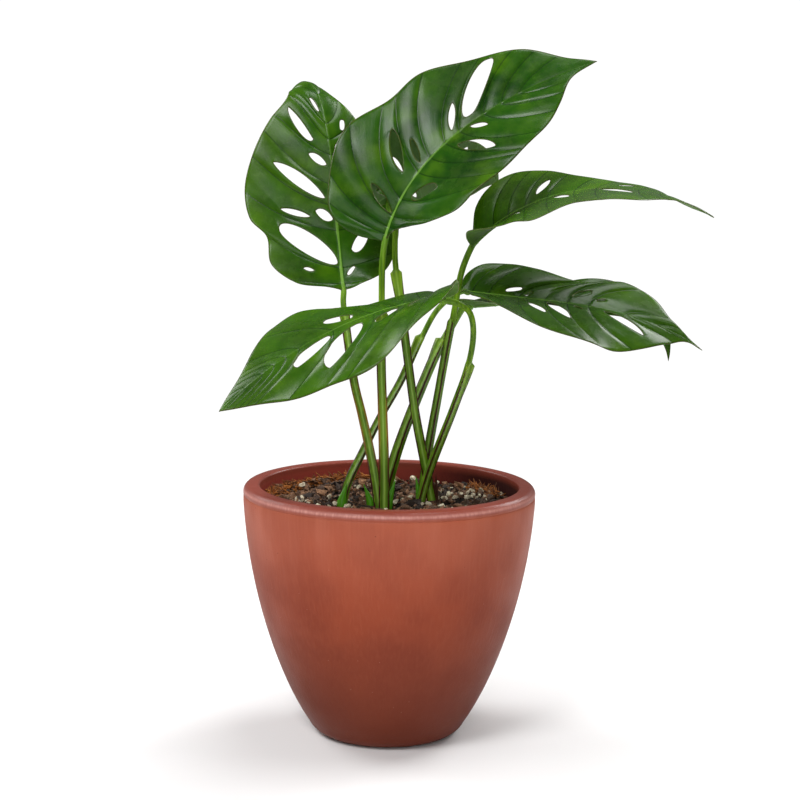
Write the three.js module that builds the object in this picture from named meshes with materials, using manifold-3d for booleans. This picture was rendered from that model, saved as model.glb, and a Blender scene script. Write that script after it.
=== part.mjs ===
// Swiss cheese plant (Monstera adansonii) with seven leaves, growing in a plain round planter.
// Millimetres, +Z up, origin at the centre of the planter's flat foot.
import * as THREE from "three";
import { mergeVertices } from "three/addons/utils/BufferGeometryUtils.js";
import Module from "manifold-3d";

// ---------------------------------------------------------------- driving dimensions
const RIM_RADIUS = 75; //        half the outside diameter of the rim
const POT_HEIGHT = 130;
const OPENING_RADIUS = 66.5; //  inside of the rim
const RIM_ROLL = 8; //           height of the rounded lip
const FOOT_RADIUS = 31; //       flat foot the planter rests on
const FOOT_CORNER = 11; //       rounding between foot and side
const SIDE_PULL_LOW = [55, 27]; //  radius and height that pull the side out near the foot
const SIDE_PULL_HIGH = [72, 72]; // radius and height that pull it out below the rim
const WALL = 6;
const FLOOR = 7;
const POT_SEGMENTS = 48;

const SOIL_LEVEL = 119;
const SOIL_CHUNK = 1.6; //       how far the bark pieces stand up or lie down
const CLEARANCE = 0.3; //        gap between pieces that touch

const BLADE = 0.8; //            thickness of a leaf blade
const ROWS = 7; //               rows of faces from the midrib to the margin
const QUILT = 0.7; //            bulge of the blade between two side veins
const WAVE = 0.9; //             up and down of the margin
const LEAST_SLANT = 0.5; //      limit for widening a hole that lies at a slant to the rows
const PLAIN_HOLE = [0, 0.6]; //  bow and roundness of a hole: 0.5 for an ellipse, 1 for pointed ends

const PETIOLE_SIDES = 12;
const CROWN_TOP = 116.5; //      top of the short buried crown that the stalks grow from
const CROWN_DEPTH = 15;
const END_UNDER = 0.8; //        how far a stalk reaches in under the base of its blade
const END_RADIUS = 1.15; //      of a stalk where it meets the blade
const FOOT_SWELL = 1.25; //      a stalk is this much thicker at its foot

// colours as seen, roughness from the shine of each surface
const CLAY = { color: 0x9a5347, roughness: 0.62 };
const EARTH = { color: 0x3a2a22, roughness: 0.95 };
const LEAF = { color: 0x2f7a2c, roughness: 0.38 };
const STALK = { color: 0x5d8f34, roughness: 0.5 };

// ---------------------------------------------------------------- leaves
// Shares of the length run from the base 0 to the tip 1, shares of the half width from the
// midrib 0. base: where the stalk meets the blade. run: direction [compass, climb] of the midrib
// at its base, middle and tip. face: direction of the upper side at base and tip. fold: rise of
// each half at base and tip, in degrees. outline: margin points of the left and the right half.
// veins: places of the side veins on the midrib, and ends on the margin of each half, counted in
// margin points. bend: how the veins of each half curve. holes: for each half [field, inner end,
// outer end, width in mm, and for some bow in mm and roundness], field 0 before the first vein.
const PLAIN = [[-0.06, 0.42], [0.17, 0.93], [0.45, 1.0], [0.70, 0.74], [0.88, 0.27]];
const PLAIN_VEINS = {
  veins: [0.05, 0.13, 0.27, 0.44, 0.64], ends: [[1.2, 2.1, 3.0, 3.9, 4.8], [1.2, 2.1, 3.0, 3.9, 4.8]],
  bend: [[0.25, 0.55], [0.25, 0.55]],
};
const LEAVES = {
  leaf_back_left: {
    base: [-25, 14, 228], length: 148, half: [47, 33],
    run: [[113, 66], [117, 73], [131, -58]], face: [[-90, 11], [-85, 68]],
    fold: [[15, -14], [8, -32]], wave: [5, 0.1],
    outline: [[[0.02, 0.20], [0.04, 0.52], [0.11, 0.76], [0.21, 0.78], [0.28, 0.95], [0.40, 0.98],
      [0.54, 0.84], [0.68, 0.59], [0.77, 0.32], [0.89, 0.16]],
      [[0.01, 0.25], [0.05, 0.68], [0.16, 0.93], [0.29, 1.0], [0.42, 0.97], [0.53, 0.78],
      [0.64, 0.55], [0.75, 0.25], [0.88, 0.14]]],
    veins: [0.024, 0.082, 0.216, 0.302, 0.377, 0.485, 0.542, 0.60, 0.72, 0.86],
    ends: [[2.2, 4.2, 5.85, 6.85, 7.6, 8.2, 9.1, 9.5, 10.0, 10.5],
      [1.5, 2.7, 4.0, 4.8, 5.5, 6.4, 7.0, 7.6, 8.4, 9.3]],
    bend: [[0.21, 0.58], [0.21, 0.58]],
    holes: [[[1, [0.080, 0.30], [0.088, 0.41], 1.8], [2, [0.104, 0.03], [0.226, 0.63], 10.8, 1.4, 0.5],
      [3, [0.258, 0.04], [0.290, 0.22], 5.0], [3, [0.272, 0.29], [0.306, 0.60], 3.0],
      [4, [0.335, 0.11], [0.481, 0.64], 6.6], [5, [0.454, 0.06], [0.499, 0.24], 4.0],
      [6, [0.553, 0.17], [0.706, 0.36], 4.2, -2.2, 0.6], [8, [0.655, 0.05], [0.712, 0.11], 2.6]],
      [[1, [0.058, 0.09], [0.076, 0.22], 2.6], [2, [0.146, 0.20], [0.190, 0.48], 6.9],
      [6, [0.505, 0.08], [0.525, 0.17], 2.5], [7, [0.581, 0.24], [0.613, 0.34], 3.7]]],
  },
  leaf_top: {
    base: [-4, -14, 255], length: 145, half: [39, 36],
    run: [[20, 76], [8, 37], [0, 19]], face: [[-103, 23], [-88, 41]],
    fold: [[12, -1], [33, 7]], wave: [5, 0.35],
    outline: [[[0.00, 0.40], [0.04, 0.77], [0.13, 0.99], [0.25, 1.13], [0.38, 0.98], [0.50, 0.98],
      [0.64, 0.79], [0.80, 0.57], [0.92, 0.20]],
      [[0.04, 0.11], [0.08, 0.40], [0.12, 0.72], [0.21, 0.98], [0.33, 1.02], [0.45, 1.02],
      [0.58, 0.94], [0.72, 0.77], [0.82, 0.47], [0.90, 0.13]]],
    veins: [0.025, 0.05, 0.09, 0.155, 0.265, 0.33, 0.402, 0.467, 0.57, 0.64, 0.71],
    ends: [[2.3, 3.0, 4.1, 4.85, 5.2, 6.0, 6.8, 7.15, 7.75, 8.2, 8.7],
      [0.6, 1.3, 3.4, 5.35, 6.1, 7.0, 7.2, 7.85, 8.7, 9.35, 9.8]],
    bend: [[0.23, 0.49], [0.06, 0.60]],
    holes: [[[3, [0.102, 0.04], [0.156, 0.43], 4.2], [4, [0.238, 0.17], [0.321, 0.65], 5.1],
      [5, [0.297, 0.07], [0.336, 0.37], 2.8], [7, [0.450, 0.08], [0.509, 0.38], 3.2],
      [8, [0.528, 0.09], [0.686, 0.66], 8.6, -0.8, 0.35]],
      [[4, [0.184, 0.16], [0.251, 0.45], 7.4], [7, [0.430, 0.18], [0.524, 0.61], 6.8],
      [8, [0.508, 0.05], [0.555, 0.21], 2.9]]],
  },
  leaf_front_left: {
    base: [25, -27, 228], length: 130, half: [46, 35],
    run: [[202, -4], [209, -23], [199, -42]], face: [[-80, 90], [-94, 43]],
    fold: [[24, 2], [6, -18]], wave: [4, 0.6],
    outline: [[[-0.035, 0.24], [0.06, 0.80], [0.17, 1.07], [0.31, 1.05], [0.45, 1.03], [0.57, 0.93],
      [0.68, 0.72], [0.79, 0.50], [0.90, 0.24]],
      [[-0.04, 0.24], [-0.03, 0.50], [0.06, 0.48], [0.22, 0.53], [0.35, 0.71], [0.46, 1.12],
      [0.59, 0.97], [0.72, 0.63], [0.86, 0.27]]],
    veins: [0.02, 0.07, 0.19, 0.295, 0.47, 0.62, 0.68, 0.735, 0.79, 0.87],
    ends: [[2.4, 4.8, 6.4, 7.0, 8.1, 8.95, 9.2, 9.4, 9.6, 9.8],
      [1.6, 2.9, 4.2, 5.2, 7.6, 8.5, 8.85, 9.05, 9.3, 9.6]],
    bend: [[0.13, 0.74], [0.05, 0.67]],
    holes: [[[2, [0.165, 0.35], [0.215, 0.52], 4.5], [3, [0.240, 0.19], [0.337, 0.39], 8.0],
      [4, [0.391, 0.14], [0.610, 0.54], 12.5], [5, [0.518, 0.06], [0.685, 0.24], 8.5]],
      [[4, [0.373, 0.13], [0.433, 0.43], 9.5]]],
  },
  leaf_upper_right: {
    base: [40, 4, 252], length: 133, half: [34, 46],
    run: [[3, 48], [-18, 8], [-12, -31]], face: [[-98, 10], [-88, 81]],
    fold: [[-40, -24], [95, 16]], wave: [4, 0.2],
    outline: [[[0.05, 0.26], [0.10, 0.63], [0.17, 0.87], [0.25, 0.98], [0.34, 0.85], [0.44, 0.61],
      [0.56, 0.56], [0.68, 0.50], [0.80, 0.40], [0.91, 0.25]],
      [[0.01, 0.50], [0.05, 0.90], [0.16, 0.86], [0.24, 0.90], [0.35, 1.12], [0.48, 0.76],
      [0.61, 0.98], [0.74, 0.82], [0.82, 0.45], [0.92, 0.25]]],
    veins: [0.116, 0.182, 0.255, 0.345, 0.455, 0.54, 0.70, 0.78, 0.88],
    ends: [[4.0, 4.5, 5.1, 5.8, 6.6, 7.3, 8.3, 9.0, 10.0], [2.6, 3.4, 4.6, 5.5, 6.4, 7.2, 8.5, 9.2, 10.1]],
    bend: [[0.18, 0.41], [0.18, 0.50]],
    holes: [[[3, [0.308, 0.20], [0.354, 0.52], 3.8], [6, [0.62, 0.15], [0.68, 0.38], 3.0]],
      [[2, [0.205, 0.12], [0.245, 0.36], 3.2], [4, [0.378, 0.05], [0.450, 0.30], 4.5],
      [6, [0.560, 0.05], [0.700, 0.36], 6.5]]],
  },
  leaf_right: {
    base: [35, 10, 229], length: 128, half: [28, 38],
    run: [[-12, -7], [-7, -8], [-8, -35]], face: [[-90, 72], [-88, 48]],
    fold: [[18, -2], [27, 4]], wave: [4, 0.75],
    outline: [[[0.00, 0.45], [0.07, 0.87], [0.17, 1.01], [0.29, 0.88], [0.43, 0.74], [0.55, 0.80],
      [0.64, 0.86], [0.76, 0.68], [0.84, 0.29], [0.92, 0.08]],
      [[0.03, 0.40], [0.10, 0.80], [0.20, 0.95], [0.33, 1.03], [0.46, 1.05], [0.58, 0.98],
      [0.67, 0.87], [0.78, 0.58], [0.86, 0.27], [0.92, 0.05]]],
    veins: [0.047, 0.114, 0.235, 0.34, 0.43, 0.515, 0.67, 0.80],
    ends: [[2.9, 3.6, 5.4, 6.15, 6.5, 7.5, 9.0, 9.6], [1.8, 3.0, 4.15, 5.5, 6.2, 7.55, 9.4, 10.1]],
    bend: [[0.04, 0.61], [0.12, 0.72]],
    holes: [[[2, [0.185, 0.12], [0.238, 0.26], 3.3], [3, [0.262, 0.07], [0.282, 0.20], 1.8],
      [5, [0.450, 0.21], [0.512, 0.45], 4.0], [6, [0.545, 0.19], [0.572, 0.27], 2.0]],
      [[3, [0.289, 0.26], [0.352, 0.55], 5.0], [4, [0.356, 0.06], [0.450, 0.50], 6.2],
      [5, [0.462, 0.06], [0.490, 0.14], 1.8], [6, [0.583, 0.06], [0.755, 0.36], 5.4]]],
  },
  leaf_behind: {
    base: [-3, 8, 273], length: 100, half: [26, 32],
    run: [[58, 48], [48, 6], [46, -36]], face: [[116, 8], [128, 24]],
    fold: [[8, 4], [-8, -4]], wave: [4, 0.5],
    outline: [[[-0.03, 0.24], [0.08, 0.55], [0.27, 0.85], [0.50, 1.0], [0.72, 0.98], [0.86, 0.72],
      [0.94, 0.34]],
      [[-0.09, 0.24], [-0.08, 0.52], [0.05, 0.75], [0.20, 0.93], [0.30, 0.80], [0.42, 0.52],
      [0.58, 0.37], [0.74, 0.36], [0.88, 0.24]]],
    veins: [0.05, 0.13, 0.27, 0.44, 0.60, 0.74],
    ends: [[1.6, 2.6, 3.6, 4.3, 5.0, 5.8], [1.0, 3.0, 3.9, 5.2, 6.9, 7.9]],
    bend: [[0.25, 0.55], [0.25, 0.55]],
    holes: [[[2, [0.235, 0.36], [0.285, 0.58], 3.0]],
      [[1, [0.03, 0.11], [0.0, 0.33], 1.8], [2, [0.20, 0.135], [0.17, 0.47], 2.0],
      [5, [0.66, 0.10], [0.673, 0.25], 3.0]]],
  },
  leaf_under: {
    base: [37, 18, 220.5], length: 126, half: [14, 11],
    run: [[0, 1], [2, 0], [-2, -90]], face: [[-108, 98], [-86, 12]],
    fold: [[17, -3], [25, -9]], wave: [4, 0.0], outline: [PLAIN, PLAIN], ...PLAIN_VEINS,
    holes: [[[2, [0.21, 0.15], [0.28, 0.45], 3.6], [3, [0.40, 0.2], [0.50, 0.6], 4.0]],
      [[2, [0.21, 0.15], [0.28, 0.45], 2.6], [3, [0.40, 0.2], [0.50, 0.6], 3.0]]],
  },
};

// ---------------------------------------------------------------- stalks
// path: centre line from the crown to the blade. leaf: the blade it carries. radius: of the
// round stalk. groove: compass direction of its hollow side. sheath: share of the path that
// the two wings of the leaf sheath run up to.
const STALKS = {
  back_left: { leaf: "leaf_back_left", radius: 1.7, groove: -80, sheath: 0.50,
    path: [[-5, -17, 112], [-8.5, -13, 143], [-13, -7, 166], [-19, 0, 183], [-23, 8, 206],
      [-25, 13, 221]] },
  top: { leaf: "leaf_top", radius: 1.9, groove: -85, sheath: 0.42,
    path: [[-2.5, -17, 112], [-3, -16.5, 145], [-4, -16, 171], [-5, -15.5, 196], [-5, -15, 221],
      [-5, -14.5, 243]] },
  right: { leaf: "leaf_right", radius: 1.6, groove: 190, sheath: 0.62,
    path: [[-23.5, -11, 112], [-20, -9, 130], [-14, -5.5, 146], [-4, 0, 164], [7, 4, 183], [17, 8, 206],
      [26, 9.5, 220]] },
  under: { leaf: "leaf_under", radius: 2.2, groove: 185, sheath: 0.70,
    path: [[-4, 11, 112], [1, 11, 134], [7, 10, 154], [16, 11, 178], [24, 14, 197], [31, 17, 210]] },
  behind: { leaf: "leaf_behind", radius: 1.7, groove: -95, sheath: 0.74,
    path: [[24, 5, 112], [18.5, 1.5, 139], [13, -3, 166], [9, -4, 192], [5, 0, 220], [1.5, 3, 243],
      [0.8, 3.2, 262]] },
  upper_right: { leaf: "leaf_upper_right", radius: 1.8, groove: 180, sheath: 0.64,
    path: [[16, 9, 112], [20, 7, 145], [24, 5, 171], [28, 2, 197], [32, -0.5, 221], [35, 0, 239]] },
  front_left: { leaf: "leaf_front_left", radius: 1.7, groove: -10, sheath: 0.44,
    path: [[14, -2, 112], [20, -5, 138], [30, -12, 170], [38, -18, 193], [41.5, -21.5, 209],
      [39, -24.5, 220.5], [33, -26, 225.5]] },
};
// pointed young shoots: foot, bend, tip and thickness at the foot
const SHOOTS = {
  spear_left: { path: [[-9, -13, 112], [-9.5, -13.5, 122], [-13, -14, 132]], radius: 2.3 },
  spear_right: { path: [[1.5, -10, 112], [3, -10, 125], [6.5, -10, 137]], radius: 1.8 },
  scale_leaf: { path: [[-23, -12.5, 112], [-24, -13, 122], [-22.5, -12.5, 132]], radius: 2.6 },
  bud: { path: [[16, 5, 112], [15, 5.5, 124], [13.5, 6, 133]], radius: 1.5 },
  dry_sheath: { path: [[24, 8, 112], [24.2, 8.2, 124], [24, 8, 134]], radius: 1.2 },
};
// what grows from each crown: [centre x, centre y, crown radius], stalks, shoots
const CROWNS = {
  stems_centre: { at: [-4, -14], radius: 9.5, stalks: ["back_left", "top"],
    shoots: ["spear_left", "spear_right"] },
  stem_left: { at: [-22.5, -11.5], radius: 6, stalks: ["right"], shoots: ["scale_leaf"] },
  stem_back: { at: [-3, 11], radius: 5, stalks: ["under"], shoots: [] },
  stems_right: { at: [19, 3.5], radius: 10.5, stalks: ["behind", "upper_right", "front_left"],
    shoots: ["bud", "dry_sheath"] },
};

// ---------------------------------------------------------------- helpers
const rad = THREE.MathUtils.degToRad;
const lerp = THREE.MathUtils.lerp;
const V = (a) => new THREE.Vector3(a[0], a[1], a[2]);
const heading = ([compass, climb]) => new THREE.Vector3(
  Math.cos(rad(compass)) * Math.cos(rad(climb)),
  Math.sin(rad(compass)) * Math.cos(rad(climb)),
  Math.sin(rad(climb)));

// smooth line through any number of points of any dimension, t from 0 to 1
function through(points, t) {
  const n = points.length - 1;
  const x = Math.min(Math.max(t * n, 0), n - 1e-9);
  const i = Math.floor(x);
  const f = x - i;
  const at = (k, c) => {
    if (k < 0) return 2 * points[0][c] - points[1][c];
    if (k > n) return 2 * points[n][c] - points[n - 1][c];
    return points[k][c];
  };
  return points[0].map((_, c) => {
    const [p, q, r, s] = [at(i - 1, c), at(i, c), at(i + 1, c), at(i + 2, c)];
    const square = 2 * p - 5 * q + 4 * r - s;
    const cube = 3 * q - p - 3 * r + s;
    return 0.5 * (2 * q + (r - p) * f + square * f * f + cube * f ** 3);
  });
}

function meshGeometry(points, triangles) {
  const g = new THREE.BufferGeometry();
  g.setAttribute("position", new THREE.Float32BufferAttribute(points.flat(), 3));
  g.setIndex(triangles.flat());
  return g;
}

const wasm = await Module();
wasm.setup();
function solid(geometry) {
  const g = geometry.clone();
  for (const name of Object.keys(g.attributes)) if (name !== "position") g.deleteAttribute(name);
  const merged = mergeVertices(g, 1e-4);
  return new wasm.Manifold(new wasm.Mesh({
    numProp: 3,
    vertProperties: Float32Array.from(merged.attributes.position.array),
    triVerts: Uint32Array.from(merged.index.array),
  }));
}
function fromSolid(body) {
  const m = body.getMesh();
  const g = new THREE.BufferGeometry();
  g.setAttribute("position", new THREE.BufferAttribute(Float32Array.from(m.vertProperties), 3));
  g.setIndex(new THREE.BufferAttribute(Uint32Array.from(m.triVerts), 1));
  return g;
}
function latheZ(profile, segments) {
  const g = new THREE.LatheGeometry(profile.map(([r, z]) => new THREE.Vector2(r, z)), segments);
  g.rotateX(Math.PI / 2);
  return g;
}

// ---------------------------------------------------------------- planter
// side of the planter from the edge of the foot to the widest point under the lip
function sideProfile(count) {
  const corner = [];
  for (let i = 0; i <= 5; i++) {
    const a = lerp(-Math.PI / 2, -0.42, i / 5);
    corner.push([FOOT_RADIUS + FOOT_CORNER * Math.cos(a), FOOT_CORNER + FOOT_CORNER * Math.sin(a)]);
  }
  const start = corner[5];
  const end = [RIM_RADIUS, POT_HEIGHT - RIM_ROLL];
  const side = [];
  for (let i = 1; i <= count; i++) {
    const t = i / count;
    side.push([0, 1].map((c) => (1 - t) ** 3 * start[c] + 3 * (1 - t) ** 2 * t * SIDE_PULL_LOW[c]
      + 3 * (1 - t) * t * t * SIDE_PULL_HIGH[c] + t ** 3 * end[c]));
  }
  return [...corner, ...side];
}
const outerSide = sideProfile(9);
const innerSide = outerSide.slice(6, -1)
  .map(([r, z]) => [r - WALL, z + 2])
  .filter(([, z]) => z > FLOOR + 8);

function planter() {
  const lip = [];
  const lipInner = POT_HEIGHT - 3.5;
  const lipMiddle = (RIM_RADIUS + OPENING_RADIUS) / 2;
  for (let i = 1; i <= 3; i++) {
    const a = (i / 3) * Math.PI / 2;
    lip.push([lipMiddle + (RIM_RADIUS - lipMiddle) * Math.cos(a), POT_HEIGHT - 4 + 4 * Math.sin(a)]);
  }
  for (let i = 1; i <= 3; i++) {
    const a = (i / 3) * Math.PI / 2;
    lip.push([lipMiddle - (lipMiddle - OPENING_RADIUS) * Math.sin(a), lipInner + 3.5 * Math.cos(a)]);
  }
  const profile = [[0, 0], [FOOT_RADIUS - 12, 0], ...outerSide, [RIM_RADIUS, POT_HEIGHT - 4], ...lip,
    ...[...innerSide].reverse(), [FOOT_RADIUS, FLOOR], [0, FLOOR]];
  return latheZ(profile, POT_SEGMENTS);
}

// ---------------------------------------------------------------- soil
// bark pieces stand up and lie down as a fixed pattern over the top of the soil
function chunk(ring, step) {
  const h = Math.sin(ring * 12.9898 + step * 78.233) * 43758.5453;
  return (h - Math.floor(h)) * 2 - 1;
}
function soilBody() {
  const rings = [5, 11, 18, 25, 32, 39, 46, 53, 59, 64];
  const steps = 36;
  const wall = [...innerSide].reverse().filter(([, z]) => z < SOIL_LEVEL - 6);
  const edge = OPENING_RADIUS - CLEARANCE - 1.0;
  const points = [[0, 0, SOIL_LEVEL]];
  const triangles = [];
  const turn = (r, z, k, jitter = 0) => {
    const a = ((k + jitter) / steps) * 2 * Math.PI;
    return [r * Math.cos(a), r * Math.sin(a), z];
  };
  rings.forEach((r, i) => {
    for (let k = 0; k < steps; k++) {
      const drift = i < rings.length - 1 ? SOIL_CHUNK * chunk(i + 20, k) : 0;
      points.push(turn(r + drift, SOIL_LEVEL + SOIL_CHUNK * chunk(i, k), k, 0.3 * chunk(i + 40, k)));
    }
  });
  const sides = [[edge, SOIL_LEVEL - 2], ...wall.map(([r, z]) => [r - CLEARANCE, z]),
    [FOOT_RADIUS - 2, FLOOR + CLEARANCE]];
  for (const [r, z] of sides) for (let k = 0; k < steps; k++) points.push(turn(r, z, k));
  const bottom = points.push([0, 0, FLOOR + CLEARANCE]) - 1;
  const ringCount = rings.length + sides.length;
  for (let k = 0; k < steps; k++) {
    const n = (k + 1) % steps;
    triangles.push([0, 1 + k, 1 + n]);
    for (let i = 0; i < ringCount - 1; i++) {
      const [a, b] = [1 + i * steps + k, 1 + i * steps + n];
      const [c, d] = [a + steps, b + steps];
      triangles.push([a, c, d], [a, d, b]);
    }
    const last = 1 + (ringCount - 1) * steps;
    triangles.push([bottom, last + n, last + k]);
  }
  let body = solid(meshGeometry(points, triangles));
  for (const crown of Object.values(CROWNS)) {
    const hole = new THREE.CylinderGeometry(crown.radius + CLEARANCE, crown.radius + CLEARANCE, 60, 20);
    hole.rotateX(Math.PI / 2);
    hole.translate(crown.at[0], crown.at[1], CROWN_TOP - CROWN_DEPTH - CLEARANCE + 30);
    body = body.subtract(solid(hole));
  }
  return fromSolid(body);
}

// ---------------------------------------------------------------- leaf blade
function spine(leaf) {
  const count = 120;
  const [d0, d1, d2] = leaf.run.map(heading);
  const [f0, f1] = leaf.face.map(heading);
  const first = -0.2;
  const step = (1 - first) / count;
  const stations = [];
  let at = new THREE.Vector3();
  let before = null;
  for (let i = 0; i <= count; i++) {
    const t = first + i * step;
    const c = Math.min(Math.max(t, 0), 1);
    const T = d0.clone().multiplyScalar((1 - c) * (1 - 2 * c))
      .addScaledVector(d1, 4 * c * (1 - c)).addScaledVector(d2, c * (2 * c - 1)).normalize();
    if (before) at = at.clone().addScaledVector(T.clone().add(before), 0.5 * step * leaf.length);
    before = T;
    const N = f0.clone().multiplyScalar(1 - c).addScaledVector(f1, c);
    N.addScaledVector(T, -N.dot(T)).normalize();
    stations.push({ t, at, T, N });
  }
  const zero = stations.reduce((a, b) => (Math.abs(b.t) < Math.abs(a.t) ? b : a)).at.clone();
  const shift = V(leaf.base).sub(zero);
  stations.forEach((s) => { s.at = s.at.clone().add(shift); });
  return (share) => {
    const x = Math.min(Math.max((share - first) / step, 0), count - 1e-6);
    const i = Math.floor(x);
    const [a, b] = [stations[i], stations[i + 1]];
    const T = a.T.clone().lerp(b.T, x - i).normalize();
    const N = a.N.clone().lerp(b.N, x - i).normalize();
    return { at: a.at.clone().lerp(b.at, x - i), T, N };
  };
}

// middle face of the blade at a flat place [along, across] in mm, p along the margin, s across
function bladePoint(leaf, bone, side, flat, p, s, bulge) {
  const share = flat[0] / leaf.length;
  const { at, T, N } = bone(share);
  const W = N.clone().cross(T).multiplyScalar(side === 0 ? 1 : -1);
  const c = Math.min(Math.max(share, 0), 1);
  const [foldBase, foldTip] = leaf.fold[side];
  const angle = rad(foldTip + (foldBase - foldTip) * (1 - c) ** 2);
  const fade = Math.min(1, 6 * (1 - p)) * Math.min(1, 6 * p);
  const wave = WAVE * s * s * Math.sin(2 * Math.PI * (leaf.wave[0] * p + leaf.wave[1] + 0.5 * side)) * fade;
  const rise = flat[1] * Math.sin(angle) + wave + bulge * Math.sin(Math.PI * Math.min(s, 1)) * fade;
  return at.clone().addScaledVector(W, flat[1] * Math.cos(angle)).addScaledVector(N, rise);
}

// flat path of a side vein: a function of s, from the midrib at 0 to the margin at 1
function veinPath(leaf, side, root, end) {
  const knots = [[0, 0], ...leaf.outline[side], [1, 0]]
    .map(([u, v]) => [u * leaf.length, v * leaf.half[side]]);
  const stop = through(knots, end / (knots.length - 1));
  const start = [root * leaf.length, 0];
  const bent = [0, 1].map((c) => start[c] + (stop[c] - start[c]) * leaf.bend[side][c]);
  return (s) => [0, 1].map((c) => (1 - s) ** 2 * start[c] + 2 * s * (1 - s) * bent[c] + s * s * stop[c]);
}

// rows of the column in the middle of a field: [s, near edge, far edge], apart inside a hole
function fieldRows(path, low, high, holes, size) {
  const nearest = (point) => {
    let best = 0;
    const distance = (s) => Math.hypot(path(s)[0] - point[0], path(s)[1] - point[1]);
    for (let s = 0; s <= 1; s += 0.01) if (distance(s) < distance(best)) best = s;
    return best;
  };
  const stops = [[0, path(0)]];
  for (const [, ...ends] of holes) {
    for (const end of ends.slice(0, 2)) {
      const point = [end[0] * size[0], end[1] * size[1]];
      stops.push([nearest(point), point]);
    }
  }
  stops.push([1, path(1)]);
  const share = stops.slice(1).map((_, i) => (i % 2 ? 2 : 1));
  while (share.reduce((a, b) => a + b) < ROWS) {
    let best = 0;
    const length = (i) => (stops[i + 1][0] - stops[i][0]) / share[i];
    for (let i = 1; i < share.length; i++) if (length(i) > length(best)) best = i;
    share[best] += 1;
  }
  const rows = [[0, stops[0][1], stops[0][1]]];
  share.forEach((n, i) => {
    const [[sa, a], [sb, b]] = [stops[i], stops[i + 1]];
    for (let k = 1; k <= n; k++) {
      const s = lerp(sa, sb, k / n);
      const middle = holes.length ? [lerp(a[0], b[0], k / n), lerp(a[1], b[1], k / n)] : path(s);
      if (i % 2 === 0 || k === n) {
        rows.push([s, middle, middle]);
        continue;
      }
      const [, , , width, ...form] = holes[(i - 1) / 2];
      const [bow, roundness] = form.length ? form : PLAIN_HOLE;
      const [l, h] = [low(s), high(s)];
      const row = Math.hypot(h[0] - l[0], h[1] - l[1]);
      const aside = [(h[0] - l[0]) / row, (h[1] - l[1]) / row];
      const along = Math.hypot(b[0] - a[0], b[1] - a[1]);
      const slant = Math.max((aside[0] * (b[1] - a[1]) + aside[1] * (a[0] - b[0])) / along, LEAST_SLANT);
      const swell = Math.sin((k / n) * Math.PI);
      const half = (width / 2) * swell ** (2 * roundness);
      rows.push([s, ...[-half, half].map((way) => {
        const shift = (bow * swell + way) / slant;
        return [middle[0] + aside[0] * shift, middle[1] + aside[1] * shift];
      })]);
    }
  });
  return rows;
}

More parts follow.
